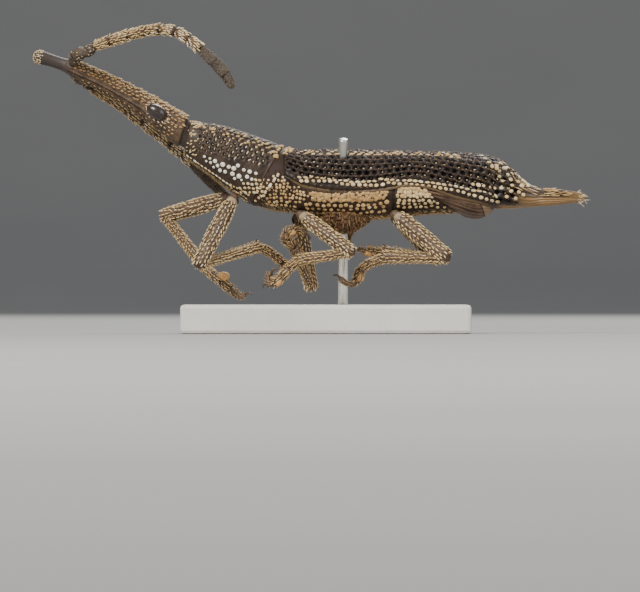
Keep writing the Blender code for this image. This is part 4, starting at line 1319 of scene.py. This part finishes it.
def lined(count, along_step, low=0.03, high=0.97):
    """Spots in staggered lines along a limb"""
    spots_u, spots_v = [], []
    for column in range(count):
        line = np.arange(low + along_step * (column % 2) / 2, high, along_step)
        spots_u.append(line + rng.normal(0, along_step * 0.08, len(line)))
        spots_v.append(np.full(len(line), column / count) + rng.normal(0, 0.008, len(line)))
    return np.concatenate(spots_u), np.concatenate(spots_v)


for leg, (coxa, knee, ankle, foot_points) in LEGS.items():
    pair = leg.split("_")[1]
    coxa, knee, ankle = (np.array(point) for point in (coxa, knee, ankle))
    fold = (ankle - knee) / np.linalg.norm(ankle - knee)
    pieces = []
    hip_radius = HIP_RADIUS[pair]
    hip, hip_table = limb(
        "hip", [coxa + np.array((0, 0, rise)) * hip_radius for rise in (1.0, 0.0, -1.0)],
        [hip_radius] * 3, 40, 36, 8, 0.5,
    )
    pieces.append(hip)
    reach = (knee - coxa) / np.linalg.norm(knee - coxa)
    knob_place = coxa + reach * (hip_radius + 0.02) + np.array((0, 0.5 * coxa[1], 0)) * 0.3
    pieces.append(limb(
        "knob", [knob_place - reach * 0.14, knob_place, knob_place + reach * 0.14],
        [0.17] * 3, 30, 32, 3, 0.5, pale=0.9,
    )[0])
    # A dark disc of leg skin behind each hip stands for the socket it turns in; its fixed low
    # relief gives it the darkest tone, as painted shade in that hollow.
    away = np.array((0, np.sign(coxa[1]), 0))
    socket = [knob_place - away * depth for depth in (0.16, 0.11, 0.06)]
    hip_shade_table = rounded(tube_table(socket, [0.235] * 3, 12, 32), 0.3)
    pieces.append(skin("socket", hip_shade_table, np.full(hip_shade_table.shape[:2], -0.03)))

    thigh, thigh_table = limb(
        "thigh", [coxa + (knee - coxa) * share for share in THIGH_PLACES],
        [THIGH_RADIUS[pair] * width for width in THIGH_WIDTHS], 80, 36, 12,
    )
    pieces.append(thigh)
    shin, shin_table = limb(
        "shin", [knee - fold * 0.14, knee + fold * 0.1, knee + (ankle - knee) * 0.5,
                 knee + (ankle - knee) * 0.88, ankle + fold * 0.05],
        [SHIN_RADIUS[pair] * width for width in SHIN_WIDTHS], 80, 28, 10,
    )
    pieces.append(shin)
    foot_points = np.array(foot_points)
    foot_radii = np.interp(np.linspace(0, 1, len(foot_points)), FOOT_PLACES, FOOT_RADII)
    foot, foot_table = limb("foot", foot_points, foot_radii, 110, 24, 8, 0.04, FOOT_JOINTS)
    pieces.append(foot)
    tip = foot_points[-1]
    ahead = tip - foot_points[-2]
    ahead = ahead / np.linalg.norm(ahead)
    aside = np.cross(ahead, (0, 0, 1.0))
    aside = aside / np.linalg.norm(aside)
    below = np.cross(ahead, aside)
    spine_up = np.array((0, 0, 1.0)) - fold * fold[2]
    spine = [ankle - fold * 0.1 + spine_up * 0.08, ankle - fold * 0.06 + spine_up * 0.2,
             ankle + fold * 0.02 + spine_up * 0.3]
    spine_table = rounded(tube_table(spine, (0.05, 0.04, 0.012), 20, 10), 0.05)
    pieces.append(skin("spine", spine_table, np.zeros(spine_table.shape[:2])))
    for side in (-1, 1):
        hook = [tip - ahead * 0.05, tip + ahead * 0.09 + aside * side * 0.07,
                tip + ahead * 0.19 + aside * side * 0.14 + below * 0.04,
                tip + ahead * 0.20 + aside * side * 0.17 + below * 0.13]
        claw_table = rounded(tube_table(hook, (0.045, 0.04, 0.026, 0.008), 24, 10), 0.05)
        pieces.append(skin("claw", claw_table, np.zeros(claw_table.shape[:2])))
    wear(joined(pieces, f"{leg}_leg"), leg_finish, "scaled_leg", *(
        f"{leg}_{part}" for part in ("coxa", "femur", "tibia", "foot")
    ))

    pads = []
    pad_share = 0.42 if leg == GOLD_PADS else 0.56
    pad_at = int(pad_share * (len(foot_table) - 1))
    pad_centre = foot_table[pad_at].mean(axis=0)
    forward = foot_table[pad_at + 4].mean(axis=0) - pad_centre
    forward = forward / np.linalg.norm(forward)
    beside = np.cross(forward, (0, 0, 1.0))
    beside = beside / np.linalg.norm(beside)
    sole = np.cross(forward, beside)
    lobe_radii = (0.06, 0.08, 0.07)
    if leg == GOLD_PADS:
        sole = np.array((1.2, -0.5, 1.5))
        lobe_radii = (0.09, 0.15, 0.14)
    for side in (-1, 1):
        lobe = [pad_centre - forward * 0.12 + beside * side * 0.03 + sole * 0.04,
                pad_centre + forward * 0.02 + beside * side * 0.09 + sole * 0.10,
                pad_centre + forward * 0.2 + beside * side * 0.13 + sole * 0.12]
        lobe_table = rounded(tube_table(lobe, lobe_radii, 24, 18, 0.75), 0.2)
        lobe_relief = 0.008 * rng.standard_normal(lobe_table.shape[:2])
        pads.append(skin("pad", raised(lobe_table, lobe_relief), lobe_relief))
    wear(joined(pads, f"{leg}_foot_pads"), pad_finish, "scaled_leg")

    thigh_length = np.linalg.norm(knee - coxa)
    shin_length = np.linalg.norm(ankle - knee)
    coat(f"{leg}_leg_scales", [
        laid(leaf_scale, hip_table, lined(14, 0.2, 0.1, 0.95), 0.1, 0.06, 10, 0.62, (0, 0.32)),
        laid(leaf_scale, thigh_table, lined(13, 0.17 / thigh_length, 0.1), 0.145, 0.042, 13, 0.7,
             (0, 0.32), 0.16),
        laid(bristle, thigh_table, lined(9, 0.14 / thigh_length, 0.1), 0.1, 0.02, 30, 0.5,
             (0, 0.32)),
        laid(leaf_scale, shin_table, lined(11, 0.15 / shin_length), 0.14, 0.034, 14, 0.6,
             (0.34, 0.66), 0.16),
        laid(bristle, shin_table, lined(8, 0.09 / shin_length), 0.12, 0.022, 34, 0.45,
             (0.34, 0.66)),
        laid(leaf_scale, foot_table, lined(9, 0.06, 0.04, 0.7), 0.13, 0.03, 12, 0.5, (0.68, 1)),
        laid(bristle, foot_table, lined(7, 0.05, 0.04, 0.95), 0.12, 0.018, 32, 0.45, (0.68, 1)),
    ], leg_coat, "scaled_leg")

# Pin
# The collector's steel pin leans through the left wing case and stands in the base. It is a bright
# drawn wire with faint scratches along it.
PIN_RADIUS = 0.17
PIN_LOW = 0.55


def pin_point(z):
    """Point on the pin's middle line"""
    return np.array((PIN_TOP[0], PIN_TOP[1] + (PIN_TOP[2] - z) * PIN_LEAN, z))


pin_table = tube_table(
    [pin_point(PIN_TOP[2]), pin_point(4.0), pin_point(PIN_LOW)], (PIN_RADIUS,) * 3, 200, 48,
    up=(1, 0, 0),
)
pin_table = rounded(pin_table, 0.006, 0.7)
pin = skin("mounting_pin", pin_table, np.zeros(pin_table.shape[:2]))
pin_metal, tree, shader = new_paint("pin_metal", {"Metallic": 1.0})
place = add_node(tree, "ShaderNodeTexCoord")
stretch = add_node(tree, "ShaderNodeMapping", Scale=(9000.0, 9000.0, 700.0))
scratch = add_node(tree, "ShaderNodeTexNoise", Scale=1.0, Detail=4.0)
rough = add_node(tree, "ShaderNodeMapRange", To_Min=0.2, To_Max=0.5)
tone = add_tones(tree, (0.5, 0.5, 0.48), (0.86, 0.86, 0.84))
bump = add_node(tree, "ShaderNodeBump", Strength=0.5, Distance=2e-6)
wire(
    tree, (place, "Object", stretch, "Vector"), (stretch, "Vector", scratch, "Vector"),
    (scratch, "Fac", rough, "Value"), (scratch, "Fac", tone, "Fac"),
    (scratch, "Fac", bump, "Height"), (rough, "Result", shader, "Roughness"),
    (tone, "Color", shader, "Base Color"), (bump, "Normal", shader, "Normal"),
)
wear(pin, pin_metal, "pin_steel", "pin")

# Base
# A plain block of pale foamed board with softened edges, which isn't in the photograph and holds
# the pin. The CAD block is shown as it is, with a fine open grain.
board, tree, shader = new_paint("pale_board", {"Roughness": 0.8})
place = add_node(tree, "ShaderNodeTexCoord")
cells = add_node(tree, "ShaderNodeTexVoronoi", Scale=7000.0)
cloud = add_node(tree, "ShaderNodeTexNoise", Scale=700.0, Detail=6.0)
tone = add_tones(tree, (0.60, 0.58, 0.53), (0.76, 0.74, 0.69))
bump = add_node(tree, "ShaderNodeBump", Strength=0.6, Distance=8e-6)
wire(
    tree, (place, "Object", cells, "Vector"), (place, "Object", cloud, "Vector"),
    (cloud, "Fac", tone, "Fac"), (tone, "Color", shader, "Base Color"),
    (cells, "Distance", bump, "Height"), (bump, "Normal", shader, "Normal"),
)
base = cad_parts["stand_base"]
base.data.materials.clear()
base.data.materials.append(board)
